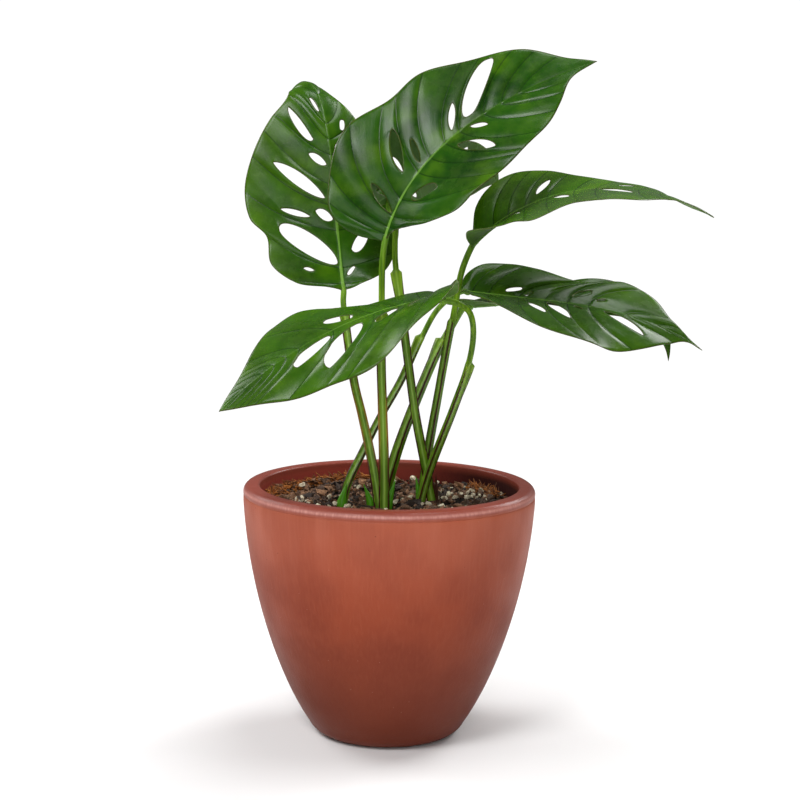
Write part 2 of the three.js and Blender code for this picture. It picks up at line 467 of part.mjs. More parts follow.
function blade(leaf) {
  const bone = spine(leaf);
  // columns alternate between fields and side veins, with roots shared by both halves
  const veinRoots = [0, ...leaf.veins, 1];
  const between = (list, c) => (c % 2 ? list[(c + 1) / 2] : (list[c / 2] + list[c / 2 + 1]) / 2);
  const columnCount = 2 * leaf.veins.length + 1;
  const points = [];
  const faces = [];
  const add = (v) => points.push(v) - 1;
  const baseVertex = add(bladePoint(leaf, bone, 0, [0, 0], 0, 0, 0));
  const tipVertex = add(bladePoint(leaf, bone, 0, [leaf.length, 0], 1, 0, 0));
  const ribs = [];
  for (let c = 0; c < columnCount; c++) {
    ribs.push(add(bladePoint(leaf, bone, 0, [between(veinRoots, c) * leaf.length, 0], 0.5, 0, 0)));
  }
  for (const side of [0, 1]) {
    const size = [leaf.length, leaf.half[side]];
    const lastEnd = leaf.outline[side].length + 1;
    const ends = [0, ...leaf.ends[side], lastEnd];
    const pathOf = (c) => veinPath(leaf, side, between(veinRoots, c), between(ends, c));
    const edge = (k) => veinPath(leaf, side, veinRoots[k], ends[k]);
    const columns = [];
    for (let c = 0; c < columnCount; c++) {
      const near = [ribs[c]];
      const far = [ribs[c]];
      const field = c % 2 === 0;
      const path = pathOf(c);
      const holes = leaf.holes[side].filter((hole) => field && hole[0] === c / 2);
      const rows = field ? fieldRows(path, edge(c / 2), edge(c / 2 + 1), holes, size)
        : Array.from({ length: ROWS + 1 }, (_, j) => [j / ROWS, ...Array(2).fill(path(j / ROWS))]);
      const bulge = field ? QUILT : -QUILT * 0.4;
      const p = between(ends, c) / lastEnd;
      for (const [s, nearPlace, farPlace] of rows.slice(1)) {
        near.push(add(bladePoint(leaf, bone, side, nearPlace, p, s, bulge)));
        far.push(nearPlace === farPlace ? near[near.length - 1]
          : add(bladePoint(leaf, bone, side, farPlace, p, s, bulge)));
      }
      columns.push({ near, far });
    }
    const put = (a, b, c) => faces.push(side === 0 ? [a, b, c] : [a, c, b]);
    const quad = (a, b, c, d) => {
      // split along the shorter diagonal
      if (points[a].distanceTo(points[c]) < points[b].distanceTo(points[d])) {
        put(a, b, c);
        put(a, c, d);
      } else {
        put(a, b, d);
        put(b, c, d);
      }
    };
    for (let j = 0; j < ROWS; j++) {
      put(baseVertex, columns[0].near[j], columns[0].near[j + 1]);
      for (let c = 0; c < columnCount - 1; c++) {
        const [l, r] = [columns[c].far, columns[c + 1].near];
        quad(l[j], r[j], r[j + 1], l[j + 1]);
      }
      const last = columns[columnCount - 1].far;
      put(last[j], tipVertex, last[j + 1]);
    }
  }
  // both skins lie half the thickness off the middle face, and walls close margin and holes
  const normals = points.map(() => new THREE.Vector3());
  for (const [a, b, c] of faces) {
    const n = points[b].clone().sub(points[a]).cross(points[c].clone().sub(points[a]));
    for (const k of [a, b, c]) normals[k].add(n);
  }
  const all = [];
  for (const sign of [1, -1]) {
    points.forEach((p, i) => {
      const n = normals[i].clone().normalize();
      all.push(p.clone().addScaledVector(n, sign * BLADE / 2).toArray());
    });
  }
  const under = points.length;
  const triangles = [];
  const edges = new Set(faces.flatMap(([a, b, c]) => [`${a},${b}`, `${b},${c}`, `${c},${a}`]));
  for (const [a, b, c] of faces) triangles.push([a, b, c], [a + under, c + under, b + under]);
  for (const edge of edges) {
    const [a, b] = edge.split(",").map(Number);
    if (!edges.has(`${b},${a}`)) triangles.push([a, a + under, b + under], [a, b + under, b]);
  }
  return meshGeometry(all, triangles);
}

// ---------------------------------------------------------------- stalks and shoots
// outline of a stalk across: the sheath gives it a groove between two wings
const WINGED = [0.62, 0.98, 1.55, 1.16, 1.04, 1.0, 1.0, 1.0, 1.04, 1.16, 1.55, 0.98];
function sweep(path, groove, rings, sizeAt) {
  const points = [];
  const triangles = [];
  const side = new THREE.Vector3(Math.cos(rad(groove)), Math.sin(rad(groove)), 0);
  const n = PETIOLE_SIDES;
  rings.forEach((t) => {
    const at = V(through(path, t));
    const before = V(through(path, Math.max(0, t - 0.01)));
    const T = V(through(path, Math.min(1, t + 0.01))).sub(before).normalize();
    const A = side.clone().addScaledVector(T, -side.dot(T)).normalize();
    const B = T.clone().cross(A);
    const { radius, wing } = sizeAt(t);
    for (let k = 0; k < n; k++) {
      const a = (k / n) * 2 * Math.PI;
      const r = radius * lerp(1, WINGED[k], wing);
      const p = at.clone().addScaledVector(A, r * Math.cos(a)).addScaledVector(B, r * Math.sin(a));
      points.push(p.toArray());
    }
  });
  const first = points.push(through(path, rings[0])) - 1;
  const last = points.push(through(path, rings[rings.length - 1])) - 1;
  for (let k = 0; k < n; k++) {
    const m = (k + 1) % n;
    for (let i = 0; i < rings.length - 1; i++) {
      const [a, b] = [i * n + k, i * n + m];
      triangles.push([a, b, b + n], [a, b + n, a + n]);
    }
    triangles.push([first, m, k]);
    const top = (rings.length - 1) * n;
    triangles.push([last, top + k, top + m]);
  }
  return solid(meshGeometry(points, triangles));
}
function stalk(spec) {
  const leaf = LEAVES[spec.leaf];
  const { N, T } = spine(leaf)(0);
  // the stalk ends just under the base of the blade
  const drop = END_RADIUS + BLADE / 2 + CLEARANCE;
  const end = V(leaf.base).addScaledVector(N, -drop).addScaledVector(T, END_UNDER);
  const path = [...spec.path, end.toArray()];
  const rings = [];
  const count = 12;
  for (let i = 0; i <= count; i++) rings.push(i / count);
  const near = (t) => rings.filter((r) => Math.abs(r - t) > 0.035);
  const list = [...near(spec.sheath), spec.sheath - 0.02, spec.sheath + 0.006].sort((a, b) => a - b);
  return sweep(path, spec.groove, list, (t) => ({
    radius: t > 0.97 ? END_RADIUS : spec.radius * lerp(FOOT_SWELL, 1, Math.min(1, t * 3)),
    wing: t < spec.sheath ? 1 : 0,
  }));
}
function shoot(spec) {
  return sweep(spec.path, -90, [0, 0.35, 0.6, 0.8, 0.93, 1], (t) => ({
    radius: Math.max(0.3, spec.radius * (t < 0.4 ? 1 : 1 - ((t - 0.4) / 0.6) ** 1.3)), wing: 0,
  }));
}
function stemBody(crown) {
  const plug = new THREE.CylinderGeometry(crown.radius, crown.radius * 0.8, CROWN_DEPTH, 18);
  plug.rotateX(Math.PI / 2);
  plug.translate(crown.at[0], crown.at[1], CROWN_TOP - CROWN_DEPTH / 2);
  let body = solid(plug);
  for (const name of crown.stalks) body = body.add(stalk(STALKS[name]));
  for (const name of crown.shoots) body = body.add(shoot(SHOOTS[name]));
  return fromSolid(body);
}

// ---------------------------------------------------------------- the whole plant
const plant = new THREE.Group();
function piece(name, geometry, look) {
  const mesh = new THREE.Mesh(geometry, new THREE.MeshStandardMaterial({ metalness: 0, ...look }));
  mesh.name = name;
  plant.add(mesh);
}
piece("pot", planter(), CLAY);
piece("soil", soilBody(), EARTH);
for (const [name, crown] of Object.entries(CROWNS)) piece(name, stemBody(crown), STALK);
for (const [name, leaf] of Object.entries(LEAVES)) piece(name, blade(leaf), LEAF);

export default plant;
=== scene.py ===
# %% [markdown]
# # A Swiss cheese plant in a clay planter
# The plant is a small Monstera adansonii: seven leaves with holes, each on its own stalk, in
# chunky bark soil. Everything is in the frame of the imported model, in metres. Each plain solid
# of that model gets a fine piece in its place, and loose bits are added on the soil.

# %% Load the frame
import math

import bmesh
import bpy
import numpy as np
from mathutils import Matrix, Vector


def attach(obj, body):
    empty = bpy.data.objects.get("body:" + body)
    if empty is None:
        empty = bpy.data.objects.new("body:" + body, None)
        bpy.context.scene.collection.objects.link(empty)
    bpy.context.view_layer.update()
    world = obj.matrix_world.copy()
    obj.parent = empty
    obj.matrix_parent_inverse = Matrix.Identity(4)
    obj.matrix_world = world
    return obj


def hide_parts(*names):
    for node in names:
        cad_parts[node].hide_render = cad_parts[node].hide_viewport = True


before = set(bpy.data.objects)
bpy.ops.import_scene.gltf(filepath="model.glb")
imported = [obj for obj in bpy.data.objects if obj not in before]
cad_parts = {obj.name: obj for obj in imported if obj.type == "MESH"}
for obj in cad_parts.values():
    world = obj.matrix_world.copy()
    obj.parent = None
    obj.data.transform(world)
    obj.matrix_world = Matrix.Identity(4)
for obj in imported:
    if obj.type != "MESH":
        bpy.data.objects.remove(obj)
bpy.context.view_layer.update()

MM = 0.001
print("plain solids:", sorted(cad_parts))

# %% [markdown]
# ## Camera
# The plant is seen from a little above the rim with a long lens, so the leaves keep their true
# proportions. The camera comes first, because every later step is judged through it.

# %% Camera
CAMERA_PLACE = (0.0048, -0.950, 0.3095)
CAMERA_TILT = 81.85  # degrees, 90 looks level
CAMERA_ROLL = 0.8
LENS_MM = 84.42
SENSOR_MM = 36


def show(name, data):
    """An object with this data, put in the scene."""
    made = bpy.data.objects.new(name, data)
    bpy.context.scene.collection.objects.link(made)
    return made


camera_data = bpy.data.cameras.new("camera")
camera_data.lens = LENS_MM
camera_data.sensor_width = SENSOR_MM
camera = show("camera", camera_data)
camera.matrix_world = (Matrix.Translation(CAMERA_PLACE)
                       @ Matrix.Rotation(math.radians(CAMERA_TILT), 4, "X")
                       @ Matrix.Rotation(math.radians(CAMERA_ROLL), 4, "Z"))
bpy.context.scene.camera = camera
print("camera at", CAMERA_PLACE)

# %% [markdown]
# ## Surround
# The studio around the plant is white. It could light everything by itself, but waxy leaves
# would then look grey all over. So it is bright where the camera sees it and gives little
# light, which a Light Path node in the world's own nodes decides.

# %% Surround
SURROUND_LIGHT = 0.16  # light that the surround gives
SURROUND_SEEN = 1.05  # how bright it looks

bpy.context.scene.view_settings.view_transform = "Standard"
world = bpy.data.worlds.new("studio")
bpy.context.scene.world = world
world.use_nodes = True
sky = world.node_tree
background = sky.nodes["Background"]
background.inputs["Color"].default_value = (1, 1, 1, 1)
seen = sky.nodes.new("ShaderNodeLightPath").outputs["Is Camera Ray"]
strength = sky.nodes.new("ShaderNodeMapRange")
strength.inputs["To Min"].default_value = SURROUND_LIGHT
strength.inputs["To Max"].default_value = SURROUND_SEEN
sky.links.new(seen, strength.inputs["Value"])
sky.links.new(strength.outputs["Result"], background.inputs["Strength"])
print("surround gives", SURROUND_LIGHT, "and looks", SURROUND_SEEN)

# %% [markdown]
# ## Lamps
# Five soft round lamps light the plant: the key lamp high in front on the left, a weak one low
# in front, one overhead, and one behind on each side, which light the floor there too. The
# leaves stay dark between the broad pale reflections of these lamps.

# %% Lamps
LAMPS = {  # place, target, size in metres, watts
    "key": ((-0.55, -1.00, 1.35), (0, 0, 0.22), 0.60, 14),
    "front": ((0.00, -1.65, 0.70), (0, 0, 0.18), 0.9, 7),
    "top": ((0.30, 0.00, 1.70), (0.05, 0, 0.2), 0.9, 15),
    "left_back": ((-1.05, 0.60, 0.90), (-0.25, 0.2, 0.0), 0.8, 10),
    "right_back": ((1.00, 0.85, 1.00), (0.25, 0.25, 0), 0.8, 12),
}

for name, (place, target, size, watts) in LAMPS.items():
    lamp_data = bpy.data.lights.new(name, "AREA")
    lamp_data.shape = "DISK"
    lamp_data.size = size
    lamp_data.energy = watts
    lamp = show(name, lamp_data)
    facing = (Vector(place) - Vector(target)).to_track_quat("Z", "Y").to_matrix().to_4x4()
    lamp.matrix_world = Matrix.Translation(place) @ facing
print("lamps:", sorted(LAMPS))

# %% [markdown]
# ## Shader helpers
# Materials are built from nodes, and a material in plain node calls is long and hard to read.
# These small functions each do one thing: add a node and feed its sockets, do a sum, lay tints
# over a colour, read a value that is stored on the mesh.

# %% Nodes and sums
def feed(tree, socket, value):
    """Links an input socket to an output socket, or sets it to a plain value."""
    if isinstance(value, bpy.types.NodeSocket):
        tree.links.new(value, socket)
    else:
        socket.default_value = value


def add(tree, kind, settings=None, **sockets):
    """Adds a node, sets its properties, and feeds its inputs by name, or by place as i0, i1."""
    made = tree.nodes.new("ShaderNode" + kind)
    for key, value in (settings or {}).items():
        setattr(made, key, value)
    for key, value in sockets.items():
        by_place = key[1:].isdigit()
        feed(tree, made.inputs[int(key[1:]) if by_place else key.replace("_", " ")], value)
    return made


def calc(tree, operation, a, b):
    """The result of a sum, by the name that a Math node has for it."""
    return add(tree, "Math", {"operation": operation}, i0=a, i1=b).outputs[0]


def times(tree, a, b):
    return calc(tree, "MULTIPLY", a, b)


def plus(tree, a, b):
    return calc(tree, "ADD", a, b)


def ramp(tree, value, low, high):
    """0 where the value is at low, 1 where it is at high, and smooth between."""
    return add(tree, "MapRange", {"interpolation_type": "SMOOTHSTEP"},
               Value=value, From_Min=low, From_Max=high).outputs[0]


def place_in_mm(tree):
    """The place on the object, in millimetres."""
    coords = add(tree, "TexCoord").outputs["Object"]
    return add(tree, "VectorMath", {"operation": "SCALE"}, Vector=coords, Scale=1 / MM).outputs[0]


def attribute(tree, name):
    """A value that is stored on the points of a mesh."""
    return add(tree, "Attribute", {"attribute_name": name}).outputs["Fac"]


# %% Colours and materials
def rgb(red, green, blue):
    """A colour given as it looks on a screen, 0 to 255, as the linear colour a shader wants."""
    def linear(c):
        c = c / 255
        return c / 12.92 if c <= 0.04045 else ((c + 0.055) / 1.055) ** 2.4
    return (linear(red), linear(green), linear(blue), 1)


def layered(tree, colour, *layers):
    """The colour with tints laid over it in turn, each given as (tint, mask) or (tint, mask, share)."""
    for tint, *masks in layers:
        mask = times(tree, *masks) if len(masks) == 2 else masks[0]
        colour = add(tree, "Mix", {"data_type": "RGBA"}, i0=mask, i6=colour, i7=tint).outputs[2]
    return colour


def start_material(name, **values):
    """A material with one Principled BSDF, whose plain values are set by socket name."""
    material = bpy.data.materials.new(name)
    material.use_nodes = True
    principled = material.node_tree.nodes["Principled BSDF"]
    for key, value in values.items():
        principled.inputs[key.replace("_", " ")].default_value = value
    return material, material.node_tree, principled


def dress(tree, shader, colour, relief, strength, depth=0.0003):
    """Gives a material its colour and a fine relief, with the depth of the relief in metres."""
    bump = add(tree, "Bump", Strength=strength, Distance=depth, Height=relief)
    tree.links.new(colour, shader.inputs["Base Color"])
    tree.links.new(bump.outputs[0], shader.inputs["Normal"])


# %% [markdown]
# ## Effects that several finishes share
# Mottle is a soft cloud that varies a colour. Specks are small dots, such as grit and dust.
# Streaks are clouds drawn out along one axis, as water or a brush leaves them. Line gives a
# soft-edged line from a distance in millimetres that is stored on the mesh. Each is a node
# group, so that it is built once and every finish gives it its own values.

# %% Groups and mottle
def start_group(name, inputs):
    """A node group with number inputs and one output, Mask."""
    tree = bpy.data.node_groups.new(name, "ShaderNodeTree")
    for label, value in inputs.items():
        socket = tree.interface.new_socket(label, in_out="INPUT", socket_type="NodeSocketFloat")
        socket.default_value = value
    tree.interface.new_socket("Mask", in_out="OUTPUT", socket_type="NodeSocketFloat")
    given = tree.nodes.new("NodeGroupInput").outputs
    return tree, given, tree.nodes.new("NodeGroupOutput").inputs["Mask"]


def use(tree, group, **sockets):
    """The mask of a node group that is placed in a material with its own values."""
    made = tree.nodes.new("ShaderNodeGroup")
    made.node_tree = group
    for key, value in sockets.items():
        feed(tree, made.inputs[key.replace("_", " ")], value)
    return made.outputs["Mask"]


mottle, given, mask = start_group("Mottle", {"Size mm": 10.0, "Detail": 3.0, "Low": 0.4, "High": 0.6})
per_mm = calc(mottle, "DIVIDE", 1.0, given["Size mm"])
cloud = add(mottle, "TexNoise", Vector=place_in_mm(mottle), Scale=per_mm, Detail=given["Detail"])
mottle.links.new(ramp(mottle, cloud.outputs["Fac"], given["Low"], given["High"]), mask)

# %% Specks, streaks and line
specks, given, mask = start_group("Specks", {"Size mm": 3.0, "Dot": 0.12, "Share": 0.3})
per_mm = calc(specks, "DIVIDE", 1.0, given["Size mm"])
cells = add(specks, "TexVoronoi", Vector=place_in_mm(specks), Scale=per_mm, Randomness=1.0)
tone = add(specks, "SeparateColor", Color=cells.outputs["Color"])
near = calc(specks, "LESS_THAN", cells.outputs["Distance"], given["Dot"])
chosen = calc(specks, "LESS_THAN", tone.outputs["Red"], given["Share"])
specks.links.new(times(specks, near, chosen), mask)

streaks, given, mask = start_group("Streaks", {"Across mm": 6.0, "Along mm": 60.0, "Low": 0.4, "High": 0.7})
across = calc(streaks, "DIVIDE", 1.0, given["Across mm"])
along = calc(streaks, "DIVIDE", 1.0, given["Along mm"])
stretch = add(streaks, "CombineXYZ", X=across, Y=across, Z=along).outputs[0]
drawn = add(streaks, "VectorMath", {"operation": "MULTIPLY"}, i0=place_in_mm(streaks), i1=stretch).outputs[0]
cloud = add(streaks, "TexNoise", Vector=drawn, Scale=1.0, Detail=4.0)
streaks.links.new(ramp(streaks, cloud.outputs["Fac"], given["Low"], given["High"]), mask)

line, given, mask = start_group("Line", {"Distance mm": 1.0, "Half width": 0.3, "Softness": 0.3})
outer = plus(line, given["Half width"], given["Softness"])
line.links.new(ramp(line, given["Distance mm"], outer, given["Half width"]), mask)
print("effects:", [group.name for group in bpy.data.node_groups])

# %% [markdown]
# ## Mesh helpers
# Each piece is computed as points and faces and then turned into a mesh. Values that a finish
# needs, such as the distance to a vein, are stored on the points by name. Many pieces are
# rings of points that follow each other, so one function makes the faces of them all.

# %% Make a piece
def make_piece(name, points_mm, faces, materials, replaced=(), values=None, slots=None, smooth=True):
    """One piece of the plant, with the solids that it stands for and the values for its finish."""
    mesh = bpy.data.meshes.new(name)
    mesh.from_pydata((np.asarray(points_mm) * MM).tolist(), [], [list(map(int, f)) for f in faces])
    for key, data in (values or {}).items():
        layer = mesh.attributes.new(key, "FLOAT", "POINT")
        layer.data.foreach_set("value", np.asarray(data, np.float32))
    for material in materials:
        mesh.materials.append(material)
    if slots is not None:
        mesh.polygons.foreach_set("material_index", np.asarray(slots, np.int32))
    mesh.polygons.foreach_set("use_smooth", np.full(len(mesh.polygons), smooth))
    mesh.update()
    piece = show(name, mesh)
    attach(piece, "root")
    if replaced:
        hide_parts(*replaced)
    print(f"{name}: {len(mesh.vertices)} points, {sum(len(f) - 2 for f in faces)} triangles")


# %% Rings, directions and smooth lines
def body_faces(rings, around, start=0):
    """Faces of a closed body of rings, which run from its first end to its last."""
    k = np.arange(around)
    n = (k + 1) % around
    rows = start + np.arange(rings - 1)[:, None] * around
    quads = np.stack([rows + k, rows + n, rows + around + n, rows + around + k], -1).reshape(-1, 4)
    first = tuple(start + k[::-1])
    last = tuple(start + (rings - 1) * around + k)
    return [tuple(quad) for quad in quads] + [first, last]


def lathe(profile, turn):
    """Rings of a profile (radius, height) turned to each angle about the vertical axis."""
    return np.stack([profile[:, :1] * np.cos(turn), profile[:, :1] * np.sin(turn),
                     np.repeat(profile[:, 1:], len(turn), 1)], -1).reshape(-1, 3)


def unit(vectors):
    return vectors / np.maximum(np.linalg.norm(vectors, axis=-1, keepdims=True), 1e-12)


def heading(compass, climb=0):
    """Direction at an angle from +X towards +Y, and an angle up, both in degrees."""
    a, b = math.radians(compass), math.radians(climb)
    return np.array([math.cos(a) * math.cos(b), math.sin(a) * math.cos(b), math.sin(b)])


def through(points, t):
    """Smooth line through points of any dimension, t from 0 to 1, for a whole array of t."""
    points = np.asarray(points, float)
    n = len(points) - 1
    padded = np.vstack([2 * points[0] - points[1], points, 2 * points[-1] - points[-2]])
    x = np.clip(np.asarray(t, float) * n, 0, n - 1e-9)
    i = np.floor(x).astype(int)
    f = (x - i)[..., None]
    p, q, r, s = (padded[i + k] for k in range(4))
    square = 2 * p - 5 * q + 4 * r - s
    cube = 3 * q - p - 3 * r + s
    return 0.5 * (2 * q + (r - p) * f + square * f ** 2 + cube * f ** 3)


# %% [markdown]
# ## Floor
# A wide pale disc carries the planter. It belongs to the room, not to the plant.

# %% Floor
FLOOR_RADIUS = 0.72
FLOOR_GREY = 0.86
FLOOR_SIDES = 96

floor_finish, tree, shader = start_material("floor_paint", Roughness=0.8)
shader.inputs["Base Color"].default_value = (FLOOR_GREY, FLOOR_GREY, FLOOR_GREY, 1)
floor_mesh = bpy.data.meshes.new("floor")
floor_mesh.from_pydata([FLOOR_RADIUS * heading(360 * k / FLOOR_SIDES) for k in range(FLOOR_SIDES)], [],
                       [list(range(FLOOR_SIDES))])
floor_mesh.materials.append(floor_finish)
floor = show("floor", floor_mesh)
print("floor radius", FLOOR_RADIUS, "m")

# %% [markdown]
# ## Clay finish
# The planter is unglazed pressed clay: a dull brick red that varies in soft vertical drifts
# and has pale grit and dark specks. Painted sheen makes it pinker towards the top, and painted
# shade darkens it towards the foot. The lip was wiped smooth, its outer edge is pale, partly rubbed
# and partly a painted highlight, and the inner wall carries painted shade that is darkest on one
# side. Roughness changes with the drifts, so light doesn't slide evenly over it.

# %% Clay colours
CLAY_BODY = rgb(158, 69, 40)
CLAY_DARK = rgb(130, 53, 34)
CLAY_PALE = rgb(176, 91, 62)
CLAY_PAINTED_SHEEN = rgb(185, 108, 86)  # painted sheen: the pink of the lit upper side
# painted shade: the planter darkens towards its foot, where its side faces away from the light
CLAY_PAINTED_SHADE = rgb(94, 39, 22)
CLAY_LIP = rgb(128, 56, 46)
# the pale outer edge of the lip, partly rubbed clay and partly a painted highlight
CLAY_RUBBED_AND_HIGHLIGHT = rgb(214, 156, 146)
CLAY_INSIDE = rgb(150, 62, 51)
# painted shade on the inner wall, darkest on one side
CLAY_INSIDE_SHADE = rgb(56, 18, 14)
CLAY_GRIT = rgb(186, 140, 122)
CLAY_SOOT = rgb(58, 28, 22)
SHEEN_LOW, SHEEN_HIGH = 70, 132  # heights in mm over which the painted sheen comes in
SHADE_LOW, SHADE_HIGH = 4, 122  # heights in mm over which the painted shade at the foot fades out
SHADE_FROM_X, SHADE_FULL_X = 0, 52  # from left to right over these places the painted shade on the inner wall deepens
print("clay painted_sheen from", SHEEN_LOW, "to", SHEEN_HIGH, "mm")

# %% Clay finish
clay, tree, shader = start_material("clay", Specular_IOR_Level=0.18)
place = add(tree, "SeparateXYZ", Vector=place_in_mm(tree)).outputs
cloud = use(tree, mottle, Size_mm=34.0, Detail=4.0, Low=0.35, High=0.68)
drift = use(tree, streaks, Across_mm=1.3, Along_mm=26.0, Low=0.38, High=0.75)
# broad streaks that make the painted sheen patchy
sheen_streaks = use(tree, streaks, Across_mm=14.0, Along_mm=60.0, Low=0.38, High=0.70)
lip = attribute(tree, "lip")
# patchy share of the painted sheen
patchy = plus(tree, times(tree, sheen_streaks, 0.22), 0.36)
# share of the pale lip edge, which is partly a painted highlight
rubbed_and_highlight = plus(tree, times(tree, drift, 0.35), 0.5)
# the inner wall with painted shade, deepening from left to right
inner_wall = layered(tree, CLAY_INSIDE, (CLAY_INSIDE_SHADE, ramp(tree, place["X"], SHADE_FROM_X, SHADE_FULL_X)))
colour = layered(
    tree, CLAY_BODY,
    (CLAY_DARK, cloud, 0.6),
    (CLAY_PALE, drift, 0.2),
    # painted sheen towards the top, in patches
    (CLAY_PAINTED_SHEEN, ramp(tree, place["Z"], SHEEN_LOW, SHEEN_HIGH), patchy),
    # painted shade towards the foot
    (CLAY_PAINTED_SHADE, ramp(tree, place["Z"], SHADE_HIGH, SHADE_LOW), 0.85),
    (CLAY_LIP, lip, 0.8),
    # the pale lip edge: partly rubbed, partly a painted highlight
    (CLAY_RUBBED_AND_HIGHLIGHT, attribute(tree, "lip_edge"), rubbed_and_highlight),
    (inner_wall, attribute(tree, "inside")),
    (CLAY_GRIT, use(tree, specks, Size_mm=3.6, Dot=0.06, Share=0.20), 0.35),
    (CLAY_SOOT, use(tree, specks, Size_mm=6.1, Dot=0.05, Share=0.16), 0.6))

rough = plus(tree, plus(tree, times(tree, cloud, 0.12), 0.46), times(tree, lip, -0.18))
tree.links.new(rough, shader.inputs["Roughness"])
fine = add(tree, "TexNoise", Vector=place_in_mm(tree), Scale=1.6, Detail=4.0).outputs["Fac"]
dress(tree, shader, colour, plus(tree, times(tree, drift, 0.5), fine), 0.25)
print("clay has", len(tree.nodes), "nodes")

# %% [markdown]
# ## Planter
# The planter is round, so its wall is one profile turned about the vertical axis. The outer
# side is one long curve from the foot to the lip, and the lip is rounded all round with a
# fine turned line under it. The finish needs to know where the lip and the inside are, so
# those are stored on the points.

# %% Sizes of the planter
RIM_RADIUS = 75
POT_HEIGHT = 130
OPENING_RADIUS = 66.5
RIM_ROLL = 8  # the long curve of the side ends this far under the top
FOOT_RADIUS = 31
FOOT_CORNER = 11
CORNER_END = -0.42  # angle in radians where the corner of the foot passes into the side
SIDE_PULL_LOW = (55, 27)  # places (radius, height) that pull the side outwards
SIDE_PULL_HIGH = (72, 72)
WALL = 6
FLOOR = 7
LIP_OUT = 3.6  # roundings of the lip outside and inside
LIP_IN = 1.4
LIP_DROP = 5  # the turned line lies this far under the top, and its points (out, up) from there
TURNED_LINE = [(-0.05, -0.8), (-0.12, -0.4), (-0.4, -0.15), (-0.4, 0.1), (-0.08, 0.4), (0, 0.7)]
AXIS_HOLE = 0.4  # radius of the small flat that closes each end of a turned body
TURNS = 192
SIDE_STEPS = 56
print("planter:", 2 * RIM_RADIUS, "mm across and", POT_HEIGHT, "mm high")

# %% Profile of the planter
def arc(centre, radius, start, end, count):
    a = np.linspace(start, end, count)
    return np.array(centre) + radius * np.stack([np.cos(a), np.sin(a)], 1)


corner = arc((FOOT_RADIUS, FOOT_CORNER), FOOT_CORNER, -math.pi / 2, CORNER_END, 9)
t = np.linspace(0, 1, SIDE_STEPS + 1)[1:, None]
low, high, end = map(np.array, (SIDE_PULL_LOW, SIDE_PULL_HIGH, (RIM_RADIUS, POT_HEIGHT - RIM_ROLL)))
side = (1 - t) ** 3 * corner[-1] + 3 * (1 - t) ** 2 * t * low + 3 * (1 - t) * t * t * high + t ** 3 * end
turned_line = [(RIM_RADIUS + out, POT_HEIGHT - LIP_DROP + up) for out, up in TURNED_LINE]
lip_out = arc((RIM_RADIUS - LIP_OUT, POT_HEIGHT - LIP_OUT), LIP_OUT, 0, math.pi / 2, 14)
lip_in = arc((OPENING_RADIUS + LIP_IN, POT_HEIGHT - LIP_IN), LIP_IN, math.pi / 2, math.pi, 14)
rim_wall = [(OPENING_RADIUS, z) for z in (127, 126, 125, 124, 122, 119, 115, 110)]
inner = side[:-2] + np.array([-WALL, 2])
inner = inner[(inner[:, 1] > FLOOR + 8) & (inner[:, 0] < OPENING_RADIUS)][::-1]
outside = np.vstack([[(AXIS_HOLE, 0), (FOOT_RADIUS - 12, 0)], corner, side, turned_line, lip_out])
profile = np.vstack([outside, lip_in, rim_wall, inner, [(FOOT_RADIUS, FLOOR), (AXIS_HOLE, FLOOR)]])
print("planter profile:", len(profile), "points")

# %% Planter
LIP_EDGE_DROP = 2.6  # the pale edge, partly rubbed and partly a painted highlight, lies this far under the top
LIP_EDGE_WIDTH = 0.9
INSIDE_DROP = 1.5  # the inner wall darkens from here down, over INSIDE_FADE, and carries painted shade
INSIDE_FADE = 3
LIP_FADE = 1.5  # the colour of the lip fades in over this much height, above the turned line

drop = POT_HEIGHT - profile[:, 1]
is_outside = np.arange(len(profile)) < len(outside)
stored = {
    "inside": np.clip((drop - INSIDE_DROP) / INSIDE_FADE, 0, 1) * ~is_outside,
    "lip": np.clip((LIP_DROP - drop) / LIP_FADE, 0, 1),
    "lip_edge": np.exp(-((drop - LIP_EDGE_DROP) / LIP_EDGE_WIDTH) ** 2) * is_outside,
}
make_piece("planter", lathe(profile, np.linspace(0, 2 * math.pi, TURNS, endpoint=False)),
           body_faces(len(profile), TURNS), [clay], ["pot"],
           {key: np.repeat(value, TURNS) for key, value in stored.items()})

# %% [markdown]
# ## Soil finishes
# The soil mix is orchid bark, white perlite and coir. Each chip carries its own tint, so one
# finish gives black, brown and reddish chips, and a fine grain breaks up their faces.

# %% Soil finishes
def grainy(name, low, high, size, roughness, strength):
    material, tree, shader = start_material(name, Roughness=roughness)
    grain = use(tree, mottle, Size_mm=size, Detail=5.0, Low=0.3, High=0.7)
    colour = layered(tree, low, (high, attribute(tree, "tint")), (low, grain, 0.5))
    dress(tree, shader, colour, grain, strength, 0.0004)
    return material


bark = grainy("bark", rgb(36, 22, 14), rgb(178, 128, 90), 1.1, 0.8, 0.9)
stone = grainy("perlite", rgb(120, 94, 62), rgb(255, 244, 216), 1.5, 0.9, 1.0)
fibre = grainy("coir", rgb(66, 34, 12), rgb(190, 112, 38), 1.2, 0.85, 0.5)
earth = grainy("earth", rgb(20, 13, 10), rgb(56, 38, 27), 1.5, 0.95, 1.0)
print("soil finishes:", [material.name for material in (bark, stone, fibre, earth)])

# %% [markdown]
# ## Soil bed
# The bed fills the planter and gives the chips something to lie on. Its top rises and falls
# by a few millimetres, with a bank on each side at the back, and its sides follow the inside
# of the wall with a small gap.

# %% Height of the soil
SOIL_LEVEL = 119
SOIL_SINK = 1.6  # the bed lies this far lower, as the chips lie on it
BANKS = [(1.6, -38, 40, 500), (1.2, 40, 30, 260)]  # height, place (x, y), and spread in square mm


